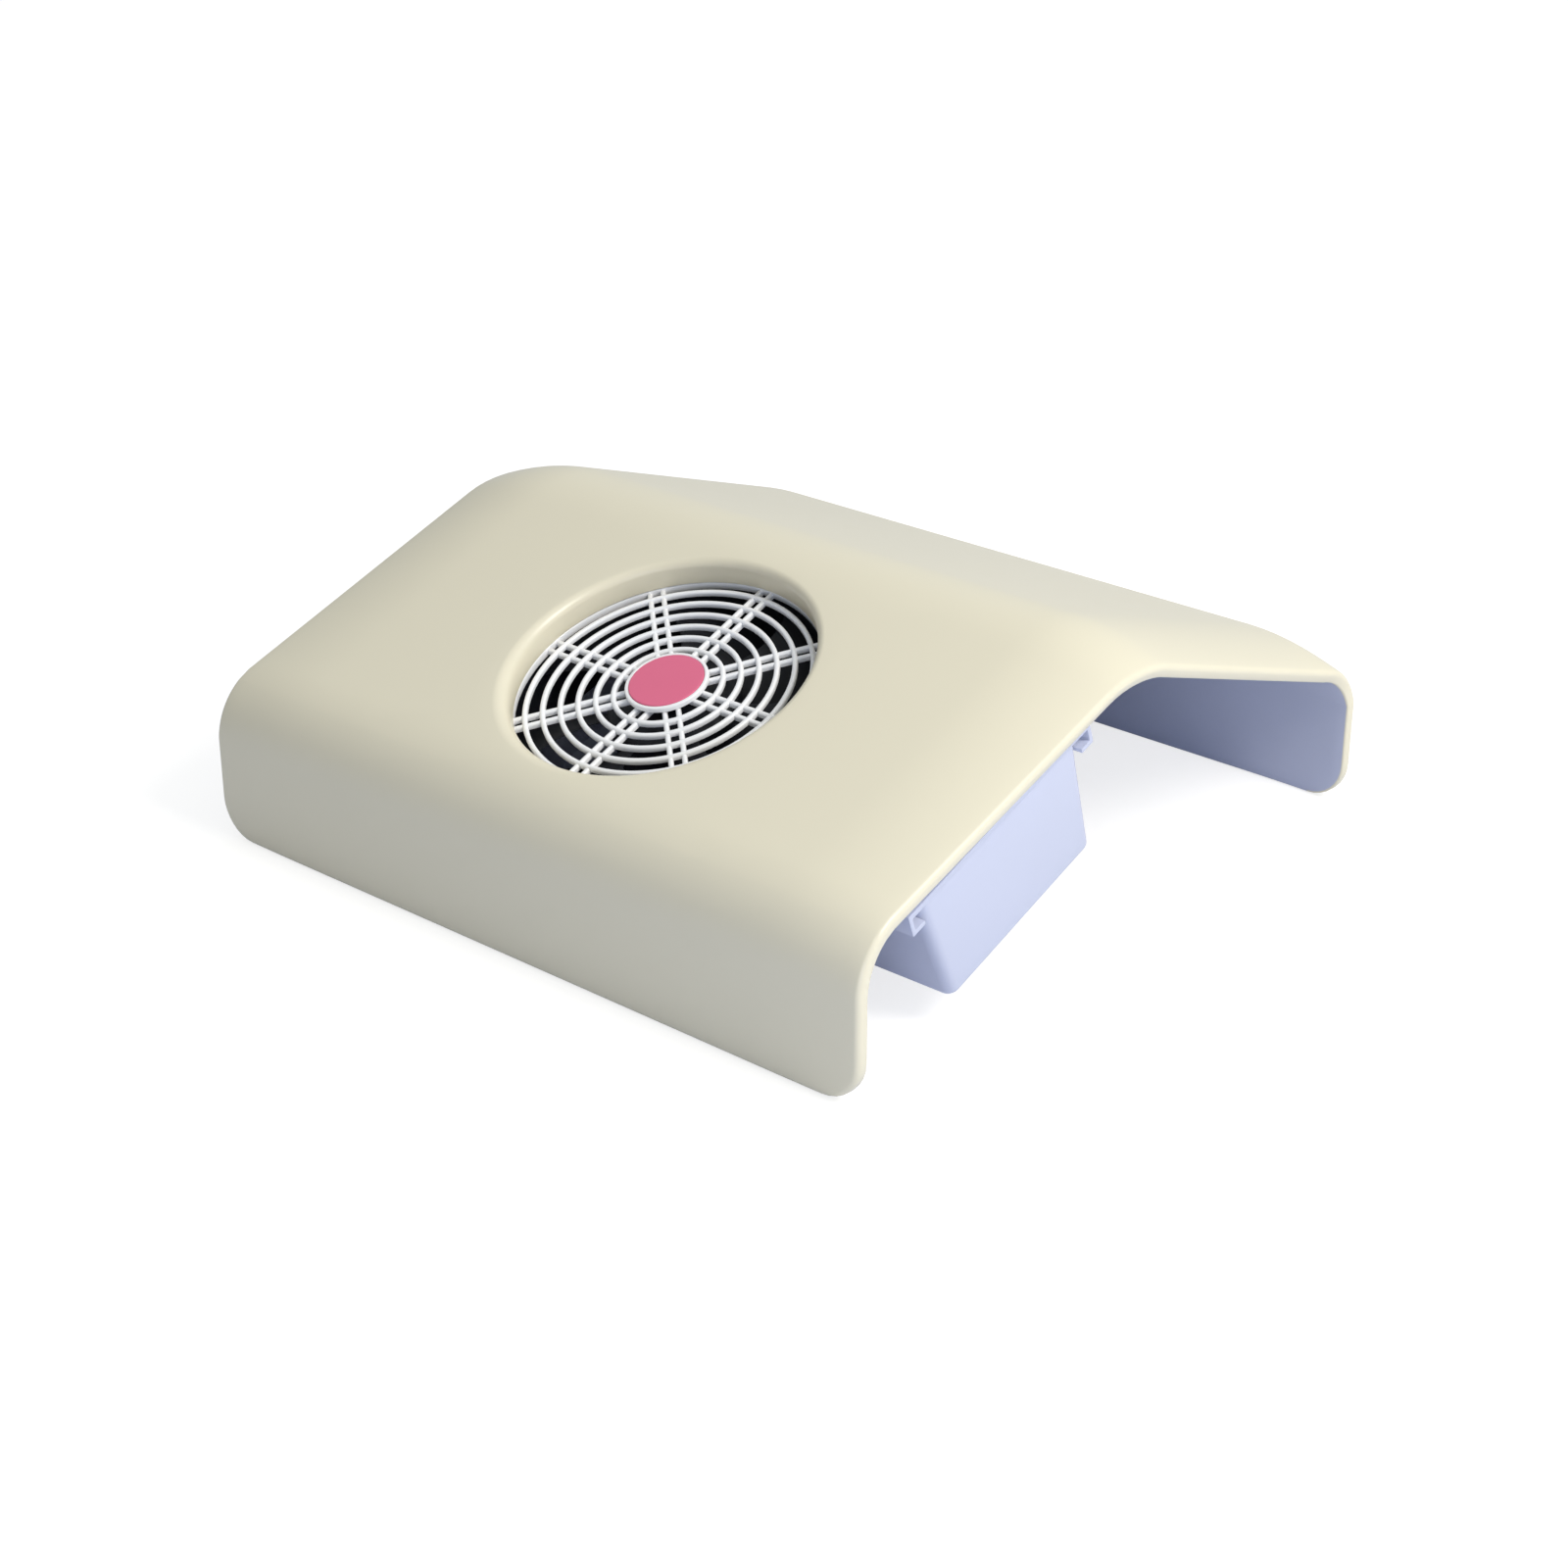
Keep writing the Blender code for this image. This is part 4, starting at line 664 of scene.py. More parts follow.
def block(name, low, high, materials, edge=0.0):
    outline = [(low[0], low[1]), (high[0], low[1]), (high[0], high[1]), (low[0], high[1])]
    if edge:
        outline = rounded_rectangle(high[0] - low[0], high[1] - low[1], edge, 3,
                                    ((low[0] + high[0]) / 2, (low[1] + high[1]) / 2))
    return extruded(name, outline, low[2], high[2], materials, edge=edge * BLOCK_RIM_SHARE)


# Lays a shape drawn about Z along X, with its X to the slope's Y
along_x = Matrix(((0, 0, 1), (1, 0, 0), (0, 1, 0))).to_4x4()


# Arched cover
def section_stretches():
    """(start, outward, length, radius) of each straight or curved stretch of the cover's outer line."""
    corners = [Vector(place) for place in (
        (-half_depth, 0),
        (-half_depth, FRONT_CORNER_HEIGHT),
        (0, RIDGE_CORNER_HEIGHT),
        (half_depth, REAR_CORNER_HEIGHT),
        (half_depth, 0),
    )]
    radii = (SKIRT_BEND_RADIUS, RIDGE_BEND_RADIUS, SKIRT_BEND_RADIUS)
    made = []
    start = corners[0]
    for before, corner, after, radius in zip(corners, corners[1:], corners[2:], radii):
        arriving = (corner - before).normalized()
        leaving = (after - corner).normalized()
        turn = arriving.angle(leaving)
        reach = radius * math.tan(turn / 2)
        outward = Vector((-arriving.y, arriving.x))
        bend = corner - arriving * reach
        made.append((start, outward, (bend - start).length, 0.0))
        made.append((bend, outward, radius * turn, radius))
        start = corner + leaving * reach
    made.append((start, Vector((1, 0)), (corners[-1] - start).length, 0.0))
    return made


stretches = section_stretches()
starts = [sum(s[2] for s in stretches[:i]) for i in range(len(stretches) + 1)]
section_length = starts[-1]


def section(v):
    """(place, outward) on the outer line at a distance along it from the front foot."""
    v = min(max(v, 0.0), section_length)
    index = max(i for i in range(len(stretches)) if starts[i] <= v + SECTION_SLACK)
    start, outward, _, radius = stretches[index]
    gone = v - starts[index]
    if not radius:
        return start + Vector((outward.y, -outward.x)) * gone, outward
    direction = outward.copy()
    direction.rotate(Matrix.Rotation(-gone / radius, 2))
    return start - outward * radius + direction * radius, direction


def crown_drop(x, place, outward):
    reach = max(0, abs(x) - CROWN_FLAT_HALF_WIDTH) / (half_width - CROWN_FLAT_HALF_WIDTH)
    rearward = min(1, max(0, (place.x + half_depth) / half_depth))
    most = FRONT_CROWN_DROP + (RIDGE_CROWN_DROP - FRONT_CROWN_DROP) * rearward
    share = SKIRT_DROP_SHARE + (1 - SKIRT_DROP_SHARE) * max(0, outward.y)
    return most * share * reach ** 2


def cover_point(x, v):
    place, outward = section(v)
    at = place - outward * crown_drop(x, place, outward)
    return Vector((x, at.x, at.y))


def cover_normal(x, v):
    across = cover_point(x + NORMAL_STEP, v) - cover_point(x - NORMAL_STEP, v)
    low = max(0.0, v - NORMAL_STEP)
    high = min(section_length, v + NORMAL_STEP)
    along = cover_point(x, high) - cover_point(x, low)
    return across.cross(along).normalized()


slope_bend = starts[2]
slope_start = (from_world @ Vector((0, *stretches[2][0]))).y
slope_end = slope_start + stretches[2][2]


def distance_at(s):
    """Distance along the outer line at a place up the slope, also a little way round its two bends."""
    if s < slope_start:
        return slope_bend - SKIRT_BEND_RADIUS * math.asin((slope_start - s) / SKIRT_BEND_RADIUS)
    if s > slope_end:
        return starts[3] + RIDGE_BEND_RADIUS * math.asin((s - slope_end) / RIDGE_BEND_RADIUS)
    return slope_bend + s - slope_start


def level_at(s, depth=0.0):
    """Level of the cover's face, or of the face below it by the depth, at a place up the slope."""
    for radius, past in ((SKIRT_BEND_RADIUS, slope_start - s), (RIDGE_BEND_RADIUS, s - slope_end)):
        if past > 0:
            return math.sqrt((radius - depth) ** 2 - past ** 2) - radius
    return -depth


def spread(low, high, steps):
    return [low + (high - low) * i / steps for i in range(steps + 1)]


def make_cover():
    corner_angle = math.atan2(PATCH_HALF_LENGTH, PATCH_HALF_WIDTH)
    widths = [PATCH_HALF_LENGTH * math.tan(a)
              for a in spread(corner_angle - math.pi / 2, math.pi / 2 - corner_angle, PATCH_NODES)]
    lengths = [PATCH_HALF_WIDTH * math.tan(a) for a in spread(-corner_angle, corner_angle, PATCH_NODES)]
    inner_x = half_width - SKIRT_CORNER_RADIUS
    side = (spread(PATCH_HALF_WIDTH, CROWN_FLAT_HALF_WIDTH, FLAT_COLUMNS)
            + spread(CROWN_FLAT_HALF_WIDTH, inner_x, CROWN_COLUMNS)[1:])
    xs = [-x for x in reversed(side)][:-1] + widths + side[1:]
    patch_low = distance_at(-PATCH_HALF_LENGTH)
    patch_high = distance_at(PATCH_HALF_LENGTH)
    front = (spread(SKIRT_CORNER_RADIUS, starts[1], SKIRT_ROWS)
             + spread(starts[1], patch_low, FRONT_BEND_ROWS)[1:])
    rear = (spread(patch_high, starts[4], RIDGE_ROWS)[1:] + spread(starts[4], starts[5], REAR_SLOPE_ROWS)[1:]
            + spread(starts[5], starts[6], REAR_BEND_ROWS)[1:]
            + spread(starts[6], section_length - SKIRT_CORNER_RADIUS, SKIRT_ROWS)[1:])
    vs = front[:-1] + [distance_at(s) for s in lengths] + rear
    column = len(side) - 1
    row = len(front) - 1
    bm = bmesh.new()

    def vertex(x, v, depth):
        return bm.verts.new(cover_point(x, v) - cover_normal(x, v) * depth)

    def grid_of(depth):
        return [[vertex(x, v, depth) for v in vs] for x in xs]

    def in_patch(i, j):
        return column <= i < column + PATCH_NODES and row <= j < row + PATCH_NODES

    def rim_of(grid):
        """The grid's border as a loop, with its corner vertices repeated for the round corners."""
        repeats = CORNER_STEPS - 1
        loop = [line[0] for line in grid] + [grid[-1][0]] * repeats
        loop += grid[-1] + [grid[-1][-1]] * repeats
        loop += [line[-1] for line in reversed(grid)] + [grid[0][-1]] * repeats
        return loop + grid[0][::-1] + [grid[0][0]] * repeats

    def outline_at(inset):
        radius = SKIRT_CORNER_RADIUS - inset
        low_v = SKIRT_CORNER_RADIUS
        high_v = section_length - SKIRT_CORNER_RADIUS
        points = [(x, inset) for x in xs]
        points += arc((inner_x, low_v), radius, 270, 360, CORNER_STEPS)[1:-1]
        points += [(half_width - inset, v) for v in vs]
        points += arc((inner_x, high_v), radius, 0, 90, CORNER_STEPS)[1:-1]
        points += [(x, section_length - inset) for x in reversed(xs)]
        points += arc((-inner_x, high_v), radius, 90, 180, CORNER_STEPS)[1:-1]
        points += [(-half_width + inset, v) for v in reversed(vs)]
        points += arc((-inner_x, low_v), radius, 180, 270, CORNER_STEPS)[1:-1]
        return points

    outer = grid_of(0.0)
    inner = grid_of(WALL)
    for grid, index in ((outer, 0), (inner, 1)):
        for i in range(len(xs) - 1):
            for j in range(len(vs) - 1):
                if not in_patch(i, j):
                    face = bm.faces.new((grid[i][j], grid[i + 1][j], grid[i + 1][j + 1], grid[i][j + 1]))
                    face.material_index = index

    insets = [SKIRT_CORNER_RADIUS * share for share in CORNER_INSET_SHARES]

    def lip(radius, steps):
        """(inset, depth) from the flat face to the open edge's side."""
        return ([(inset, 0.0) for inset in insets]
                + [(rise, inset) for inset, rise in reversed(quarter_turn(radius, steps))])

    loops = [rim_of(outer)]
    for inset, depth in lip(LIP_OUTER_RADIUS, LIP_OUTER_STEPS):
        loops.append([vertex(x, v, depth) for x, v in outline_at(inset)])
    turned_in = len(loops) - 1
    for inset, depth in reversed(lip(LIP_INNER_RADIUS, LIP_INNER_STEPS)):
        loops.append([vertex(x, v, WALL - depth) for x, v in outline_at(inset)])
    bare = len(loops) - len(insets) - 1
    loops.append(rim_of(inner))
    rear_foot = len(xs) + len(vs) + 2 * (CORNER_STEPS - 1)
    feet = [*range(len(xs)), *range(rear_foot, rear_foot + len(xs))]
    for k, (lower, upper) in enumerate(zip(loops, loops[1:])):
        made = skin(bm, lower, upper, 1 if k >= bare else 0)
        if turned_in <= k < bare:
            for i in feet:
                made[i].material_index = 1

    def border(grid):
        last = PATCH_NODES
        loop = [grid[column + i][row] for i in range(last)]
        loop += [grid[column + last][row + j] for j in range(last)]
        loop += [grid[column + i][row + last] for i in range(last, 0, -1)]
        loop += [grid[column][row + j] for j in range(last, 0, -1)]
        return loop

    outer_loop = border(outer)
    inner_loop = border(inner)
    rays = [(from_world @ v.co).xy.normalized() for v in outer_loop]

    def even(value):
        return [value] * len(rays)

    def ring(radii, levels):
        return [bm.verts.new(slope @ Vector((*(ray * radius), level)))
                for ray, radius, level in zip(rays, radii, levels)]

    def blended(loop, radii, share, depth):
        made = []
        for v, ray, radius in zip(loop, rays, radii):
            at = ray * radius + ((from_world @ v.co).xy - ray * radius) * share
            made.append(bm.verts.new(slope @ Vector((*at, level_at(at.y, depth)))))
        return made

    # The roll into the mouth is tight at the mouth's upper side and widens towards its lower side
    rolls = [MOUTH_ROLL_HIGH + (MOUTH_ROLL_LOW - MOUTH_ROLL_HIGH) * ((1 - ray.y) / 2) ** 2 for ray in rays]
    roll_out = [MOUTH_RADIUS + roll for roll in rolls]
    chain = [outer_loop]
    for share in PATCH_BLEND_SHARES:
        chain.append(blended(outer_loop, roll_out, share, 0.0))
    for i in range(MOUTH_ROLL_STEPS + 1):
        angle = math.pi / 2 * i / MOUTH_ROLL_STEPS
        radii = [MOUTH_RADIUS + roll * (1 - math.sin(angle)) for roll in rolls]
        drops = [roll * (1 - math.cos(angle)) for roll in rolls]
        chain.append(ring(radii, [level_at(ray.y * radius) - drop
                                  for ray, radius, drop in zip(rays, radii, drops)]))
    seat = GRILLE_RADIUS + GAP
    corner = MOUTH_LIP * CORNER_SHARE
    turned_under = [(MOUTH_RADIUS, MOUTH_LIP - MOUTH_DEPTH), (MOUTH_RADIUS + corner, corner - MOUTH_DEPTH),
                    (MOUTH_RADIUS + MOUTH_LIP, -MOUTH_DEPTH)]
    below = len(chain) + len(turned_under)
    collar = [(seat, -MOUTH_DEPTH), (seat, collar_bottom + MOUTH_LIP), (seat + MOUTH_LIP, collar_bottom),
              (COLLAR_RADIUS - MOUTH_LIP, collar_bottom), (COLLAR_RADIUS, collar_bottom + MOUTH_LIP)]
    for radius, level in turned_under + collar:
        chain.append(ring(even(radius), even(level)))
    corner = COLLAR_FILLET * CORNER_SHARE
    for radius, drop in ((COLLAR_RADIUS, COLLAR_FILLET), (COLLAR_RADIUS + corner, corner)):
        chain.append(ring(even(radius), [level_at(ray.y * COLLAR_RADIUS, WALL) - drop for ray in rays]))
    foot = even(COLLAR_RADIUS + COLLAR_FILLET)
    chain.append(blended(inner_loop, foot, 0.0, WALL))
    chain.append(blended(inner_loop, foot, 0.5, WALL))
    chain.append(inner_loop)
    for k, (lower, upper) in enumerate(zip(chain, chain[1:])):
        skin(bm, lower, upper, 1 if k >= below else 0)

    cover = finished("cover", bm, [cream, lavender], "housing", ["shell"], "cream_shell", lay=None)
    hung = []
    cuts = []
    paints = [lavender, lavender]
    pegs = [(place, post_bottom, FAN_SCREW_RADIUS) for place in fan_corners]
    pegs += [(place, hanger_ear_top + GAP, SMALL_SCREW_RADIUS) for place in hanger_places]
    pegs += [(place, box_top + GAP, SMALL_SCREW_RADIUS) for place in control_post_places]
    for i, (place, low, radius) in enumerate(pegs):
        profile = [(0, low), (POST_RADIUS - POST_ROUNDING, low), (POST_RADIUS, low + POST_ROUNDING),
                   (POST_RADIUS, -WALL / 2), (0, -WALL / 2)]
        hung.append(turned(f"peg_{i}", profile, paints, POST_SEGMENTS, place))
        cuts.append(rod(f"peg_hole_{i}", place, radius + GAP, low - POST_HOLE_OVERRUN, -WALL, paints))
    for tool in hung + cuts:
        for face in tool.data.polygons:
            face.material_index = 1
    return combined(cover, [("UNION", hung), ("DIFFERENCE", cuts)])


# Grille
def make_grille():
    rim = rounded_ring(GRILLE_RADIUS - GRILLE_RIM_WIDTH, GRILLE_RADIUS, grille_bottom, grille_top,
                       GRILLE_EDGE, GRILLE_EDGE)
    grille = turned("grille_fine", rim, [white], RIM_SEGMENTS, body="housing", replaces=["grille"],
                    slot="white_grille")
    hub_top = grille_top + HUB_RISE
    recess = hub_top - BADGE_RECESS
    well = BADGE_RADIUS + GAP / 2
    well_edge = HUB_EDGE * HUB_WELL_EDGE_SHARE
    plate = hub_top - HUB_PLATE
    hub = [(0, recess), (well, recess), (well, hub_top - well_edge), (well + well_edge, hub_top)]
    hub += arc((HUB_RADIUS - HUB_EDGE, hub_top - HUB_EDGE), HUB_EDGE, 90, 0, 4)
    hub += [(HUB_RADIUS, plate + GRILLE_EDGE), (HUB_RADIUS - GRILLE_EDGE, plate), (HUB_CORE_RADIUS, plate),
            (HUB_CORE_RADIUS, grille_bottom + SEAM), (0, grille_bottom + SEAM)]
    pieces = [turned("grille_hub", hub, [white])]
    ring_top = grille_top - SEAM
    for i in range(RING_COUNT):
        middle = FIRST_RING_RADIUS + RING_PITCH * i
        profile = rounded_ring(middle - RING_WIDTH / 2, middle + RING_WIDTH / 2, ring_top - RING_THICKNESS,
                               ring_top, RING_WIDTH * RING_TOP_SHARE, GRILLE_EDGE * RING_LOW_SHARE, 5)
        pieces.append(turned(f"grille_ring_{i}", profile, [white], RING_SEGMENTS))
    bar_top = ring_top - SPOKE_SINK
    bar_bottom = grille_bottom + SPOKE_SINK
    start = HUB_RADIUS * SPOKE_START_SHARE
    end = GRILLE_RADIUS - GRILLE_RIM_WIDTH / 2
    half = SPOKE_BAR_WIDTH / 2
    curve = half * SPOKE_TOP_SHARE
    for i in range(SPOKE_COUNT):
        turn = Matrix.Rotation(2 * math.pi * i / SPOKE_COUNT, 4, "Z") @ along_x
        for side in (-1, 1):
            middle = side * SPOKE_BAR_SPACING / 2
            outline = (arc((middle + half - curve, bar_top - curve), curve, 0, 90, 4)
                       + arc((middle - half + curve, bar_top - curve), curve, 90, 180, 4)
                       + [(middle - half, bar_bottom), (middle + half, bar_bottom)])
            pieces.append(extruded(f"grille_bar_{i}_{side}", outline, start, end, [white], turn=turn))
    combined(grille, [("UNION", pieces)], GRILLE_SHARP_DEGREES)

    low = recess + GAP
    top = low + BADGE_THICKNESS
    soft = BADGE_THICKNESS * BADGE_EDGE_SHARE
    face = [(BADGE_RADIUS * share, top + BADGE_BULGE * (1 - share ** 2)) for share in BADGE_BULGE_SHARES]
    disc = [(0, top + BADGE_BULGE), *face, (BADGE_RADIUS - soft, top)]
    disc += arc((BADGE_RADIUS - soft, top - soft), soft, 80, 0, 3)
    disc += [(BADGE_RADIUS, low), (0, low)]
    turned("badge_disc", disc, [pink], body="housing", replaces=["grille_badge"], slot="pink_badge")


# Fan wheel
def make_blade(index):
    root = WHEEL_HUB_RADIUS - WHEEL_HUB_WALL / 2
    tip = FAN_BORE_RADIUS - BLADE_TIP_GAP
    middle = fan_top - WHEEL_TOP_INSET - BLADE_ROOT_HEIGHT / 2 - BLADE_THICKNESS

    def camber_point(out, chord):
        radius = root + (tip - root) * out
        wrap = BLADE_ROOT_WRAP_DEGREES + (BLADE_TIP_WRAP_DEGREES - BLADE_ROOT_WRAP_DEGREES) * out
        height = BLADE_ROOT_HEIGHT + (BLADE_TIP_HEIGHT - BLADE_ROOT_HEIGHT) * out
        sweep = math.radians(BLADE_SWEEP_DEGREES) * out ** 2 + 2 * math.pi * index / BLADE_COUNT
        angle = sweep + math.radians(wrap) * (0.5 - chord)
        level = middle + height * (0.5 - chord) + BLADE_CAMBER * 4 * chord * (1 - chord)
        return Vector((radius * math.cos(angle), radius * math.sin(angle), level))

    bm = bmesh.new()
    sections = []
    for i in range(BLADE_SPANS + 1):
        out = i / BLADE_SPANS
        outer = min(1, out + BLADE_NEARBY)
        inner = max(0, out - BLADE_NEARBY)
        upper = []
        lower = []
        for j in range(BLADE_CHORDS + 1):
            chord = (1 - math.cos(math.pi * j / BLADE_CHORDS)) / 2
            at = camber_point(out, chord)
            across = camber_point(outer, chord) - camber_point(inner, chord)
            along = (camber_point(out, min(1, chord + BLADE_NEARBY))
                     - camber_point(out, max(0, chord - BLADE_NEARBY)))
            normal = across.cross(along).normalized()
            thick = BLADE_THICKNESS / 2 * math.sqrt(max(0.0, 1 - abs(2 * chord - 1) ** BLADE_FULLNESS))
            upper.append(at + normal * thick)
            lower.append(at - normal * thick)
        sections.append([bm.verts.new(p) for p in upper + lower[-2:0:-1]])
    for a, b in zip(sections, sections[1:]):
        skin(bm, a, b)
    bm.faces.new(sections[0])
    bm.faces.new(sections[-1])
    return finished(f"wheel_blade_{index}", bm, [shaded_navy])


def make_wheel():
    rotor_top = fan_top - WHEEL_TOP_INSET
    ceiling = rotor_top - WHEEL_HUB_WALL
    skirt = fan_bottom + MOTOR_BASE_THICKNESS + 2 * GAP
    inside = WHEEL_HUB_RADIUS - WHEEL_HUB_WALL
    bore = SHAFT_RADIUS + RUNNING_GAP
    boss_low = ceiling - WHEEL_BOSS_HEIGHT
    bore_top = ceiling - GAP / 2
    groove = rotor_top - WHEEL_EDGE
    profile = [(0, rotor_top), (WHEEL_GROOVE_RADIUS - WHEEL_GROOVE_TOP, rotor_top),
               (WHEEL_GROOVE_RADIUS - WHEEL_GROOVE_FLOOR, groove),
               (WHEEL_GROOVE_RADIUS + WHEEL_GROOVE_FLOOR, groove),
               (WHEEL_GROOVE_RADIUS + WHEEL_GROOVE_TOP, rotor_top)]
    rounding = WHEEL_HUB_ROUNDING
    profile += arc((WHEEL_HUB_RADIUS - rounding, rotor_top - rounding), rounding, 90, 0, 8)
    profile += [(WHEEL_HUB_RADIUS, skirt + WHEEL_EDGE), (WHEEL_HUB_RADIUS - WHEEL_EDGE, skirt),
                (inside + WHEEL_EDGE, skirt), (inside, skirt + WHEEL_EDGE), (inside, ceiling),
                (WHEEL_BOSS_RADIUS, ceiling), (WHEEL_BOSS_RADIUS, boss_low + WHEEL_EDGE),
                (WHEEL_BOSS_RADIUS - WHEEL_EDGE, boss_low), (bore, boss_low), (bore, bore_top), (0, bore_top)]
    wheel = turned("fan_wheel_fine", profile, [shaded_navy], body="fan_wheel", replaces=["fan_rotor"],
                   slot="navy_blades")
    blades = [make_blade(i) for i in range(BLADE_COUNT)]
    combined(wheel, [("UNION", blades)], WHEEL_SHARP_DEGREES)


# Drafted boxes
def box_solid(name, start, end, levels, materials, **kept):
    """Solid lofted through the drafted box's rounded outlines, given as (level, inset)."""
    bm = bmesh.new()
    loops = []
    for level, inset in levels:
        radius = max(BOX_CORNER_RADIUS - inset, SMALLEST_CORNER_RADIUS)
        outline = rounded_rectangle(end - start - 2 * inset, 2 * (box_half_width(level) - inset), radius,
                                    BOX_CORNER_STEPS, ((start + end) / 2, 0))
        loops.append([bm.verts.new((*p, level)) for p in outline])
    for lower, upper in zip(loops, loops[1:]):
        skin(bm, lower, upper)
    bm.faces.new(loops[0])
    bm.faces.new(loops[-1])
    return finished(name, bm, materials, **kept)


def tub_levels(base, rim, floor, base_turn, rim_turn, nook_turn):
    """(level, inset) of a tub's loops, from its closed base round the rim to the floor inside."""
    up = math.copysign(1, rim - base)
    around = quarter_turn(*rim_turn)
    levels = [(base + up * rise, inset) for inset, rise in quarter_turn(*base_turn)]
    levels += [(rim - up * rise, inset) for inset, rise in reversed(around)]
    levels += [(rim - up * rise, BOX_WALL - inset) for inset, rise in around]
    levels += [(floor + up * rise, BOX_WALL + inset) for inset, rise in reversed(quarter_turn(*nook_turn))]
    return levels


def make_drawer():
    floor_top = box_bottom + BOX_FLOOR
    levels = tub_levels(box_bottom, box_top, floor_top, DRAWER_BASE_TURN, DRAWER_RIM_TURN, DRAWER_NOOK_TURN)
    drawer = box_solid("drawer_tub", DRAWER_START, BOX_END, levels, [lavender], body="drawer",
                       replaces=["dust_drawer"], slot="lavender_box")
    start = DRAWER_START + FLANGE_END_INSET
    end = BOX_END - BOX_CORNER_RADIUS - FLANGE_END_INSET
    flanges = []
    for side in (-1, 1):
        near, far = sorted((side * (box_half_width(flange_top) - BOX_WALL / 2), side * flange_tip))
        flanges.append(block(f"drawer_flange_{side}", (start, near, flange_bottom), (end, far, flange_top),
                             [lavender], FLANGE_EDGE))
    half_window = SPOUT_WIDTH / 2 - BOX_CORNER_RADIUS
    cuts = [block("drawer_window", (DRAWER_START - CUT_OVERRUN, -half_window, -SPOUT_LOW_DEPTH + DUCT_WALL),
                  (DRAWER_START + BOX_WALL + CUT_OVERRUN, half_window, -SPOUT_HIGH_DEPTH), [lavender])]
    middle = (DRAWER_START + BOX_END) / 2
    for i in range(SLOT_COUNT):
        x = middle + (i - (SLOT_COUNT - 1) / 2) * SLOT_PITCH
        outline = rounded_rectangle(SLOT_WIDTH, SLOT_LENGTH, SLOT_WIDTH * SLOT_END_SHARE, 5, (x, 0))
        cuts.append(extruded(f"drawer_slot_{i}", outline, box_bottom - CUT_OVERRUN, floor_top + CUT_OVERRUN,
                             [lavender]))
    combined(drawer, [("UNION", flanges), ("DIFFERENCE", cuts)])

    pad_low = floor_top + GAP
    inset = BOX_WALL + PAD_WALL_GAPS * GAP
    levels = [(level, inset + shy)
              for level, shy in rounded_levels(pad_low, pad_low + FILTER_THICKNESS, PAD_TURN, PAD_TURN)]
    pad = box_solid("felt_pad", DRAWER_START, BOX_END, levels, [felt], body="drawer", replaces=["filter_pad"],
                    slot="filter_felt")


def make_hanger():
    lip_top = flange_bottom - GAP
    lip_bottom = lip_top - CHANNEL_LIP
    lip_inside = box_half_width(flange_bottom) + SLIDING_GAP
    points = [
        (-channel_outside, hanger_top), (-channel_outside, lip_bottom), (-lip_inside, lip_bottom),
        (-lip_inside, lip_top), (-channel_inside, lip_top), (-channel_inside, hanger_bottom),
        (channel_inside, hanger_bottom), (channel_inside, lip_top), (lip_inside, lip_top),
        (lip_inside, lip_bottom), (channel_outside, lip_bottom), (channel_outside, hanger_top),
    ]
    outline = []
    for i, point in enumerate(points):
        at = Vector(point)
        before = (Vector(points[i - 1]) - at).normalized() * CHANNEL_CORNER
        after = (Vector(points[(i + 1) % len(points)]) - at).normalized() * CHANNEL_CORNER
        between = (before + after) * CHANNEL_CORNER_SHARE
        outline += [tuple(at + before), tuple(at + between), tuple(at + after)]
    rails = extruded("hanger_rails", outline, DRAWER_START + GAP, HANGER_END, [lavender], CHANNEL_END_EDGE, 2,
                     along_x, body="housing", replaces=["drawer_hanger"], slot="lavender_box")
    ears = []
    holes = []
    ear_low = hanger_bottom - SEAM
    root_low = ear_low + SEAM * EAR_ROOT_SEAMS
    root_top = hanger_ear_top - SEAM * EAR_ROOT_SEAMS
    half_root = HANGER_EAR_RADIUS * EAR_ROOT_SHARE
    for i, (x, y) in enumerate(hanger_places):
        outline = circle((x, y), HANGER_EAR_RADIUS, ROUND_HOLE_SEGMENTS)
        ears.append(extruded(f"ear_{i}", outline, ear_low, hanger_ear_top, [lavender], HANGER_EAR_EDGE))
        near, far = sorted((math.copysign(channel_outside - CHANNEL_WEB / 2, y), y))
        ears.append(block(f"ear_root_{i}", (x - half_root, near, root_low), (x + half_root, far, root_top),
                          [lavender]))
        holes.append(rod(f"ear_hole_{i}", (x, y), small_bore, ear_low - CUT_OVERRUN,
                         hanger_ear_top + CUT_OVERRUN, [lavender]))
    combined(rails, [("UNION", ears), ("DIFFERENCE", holes)])


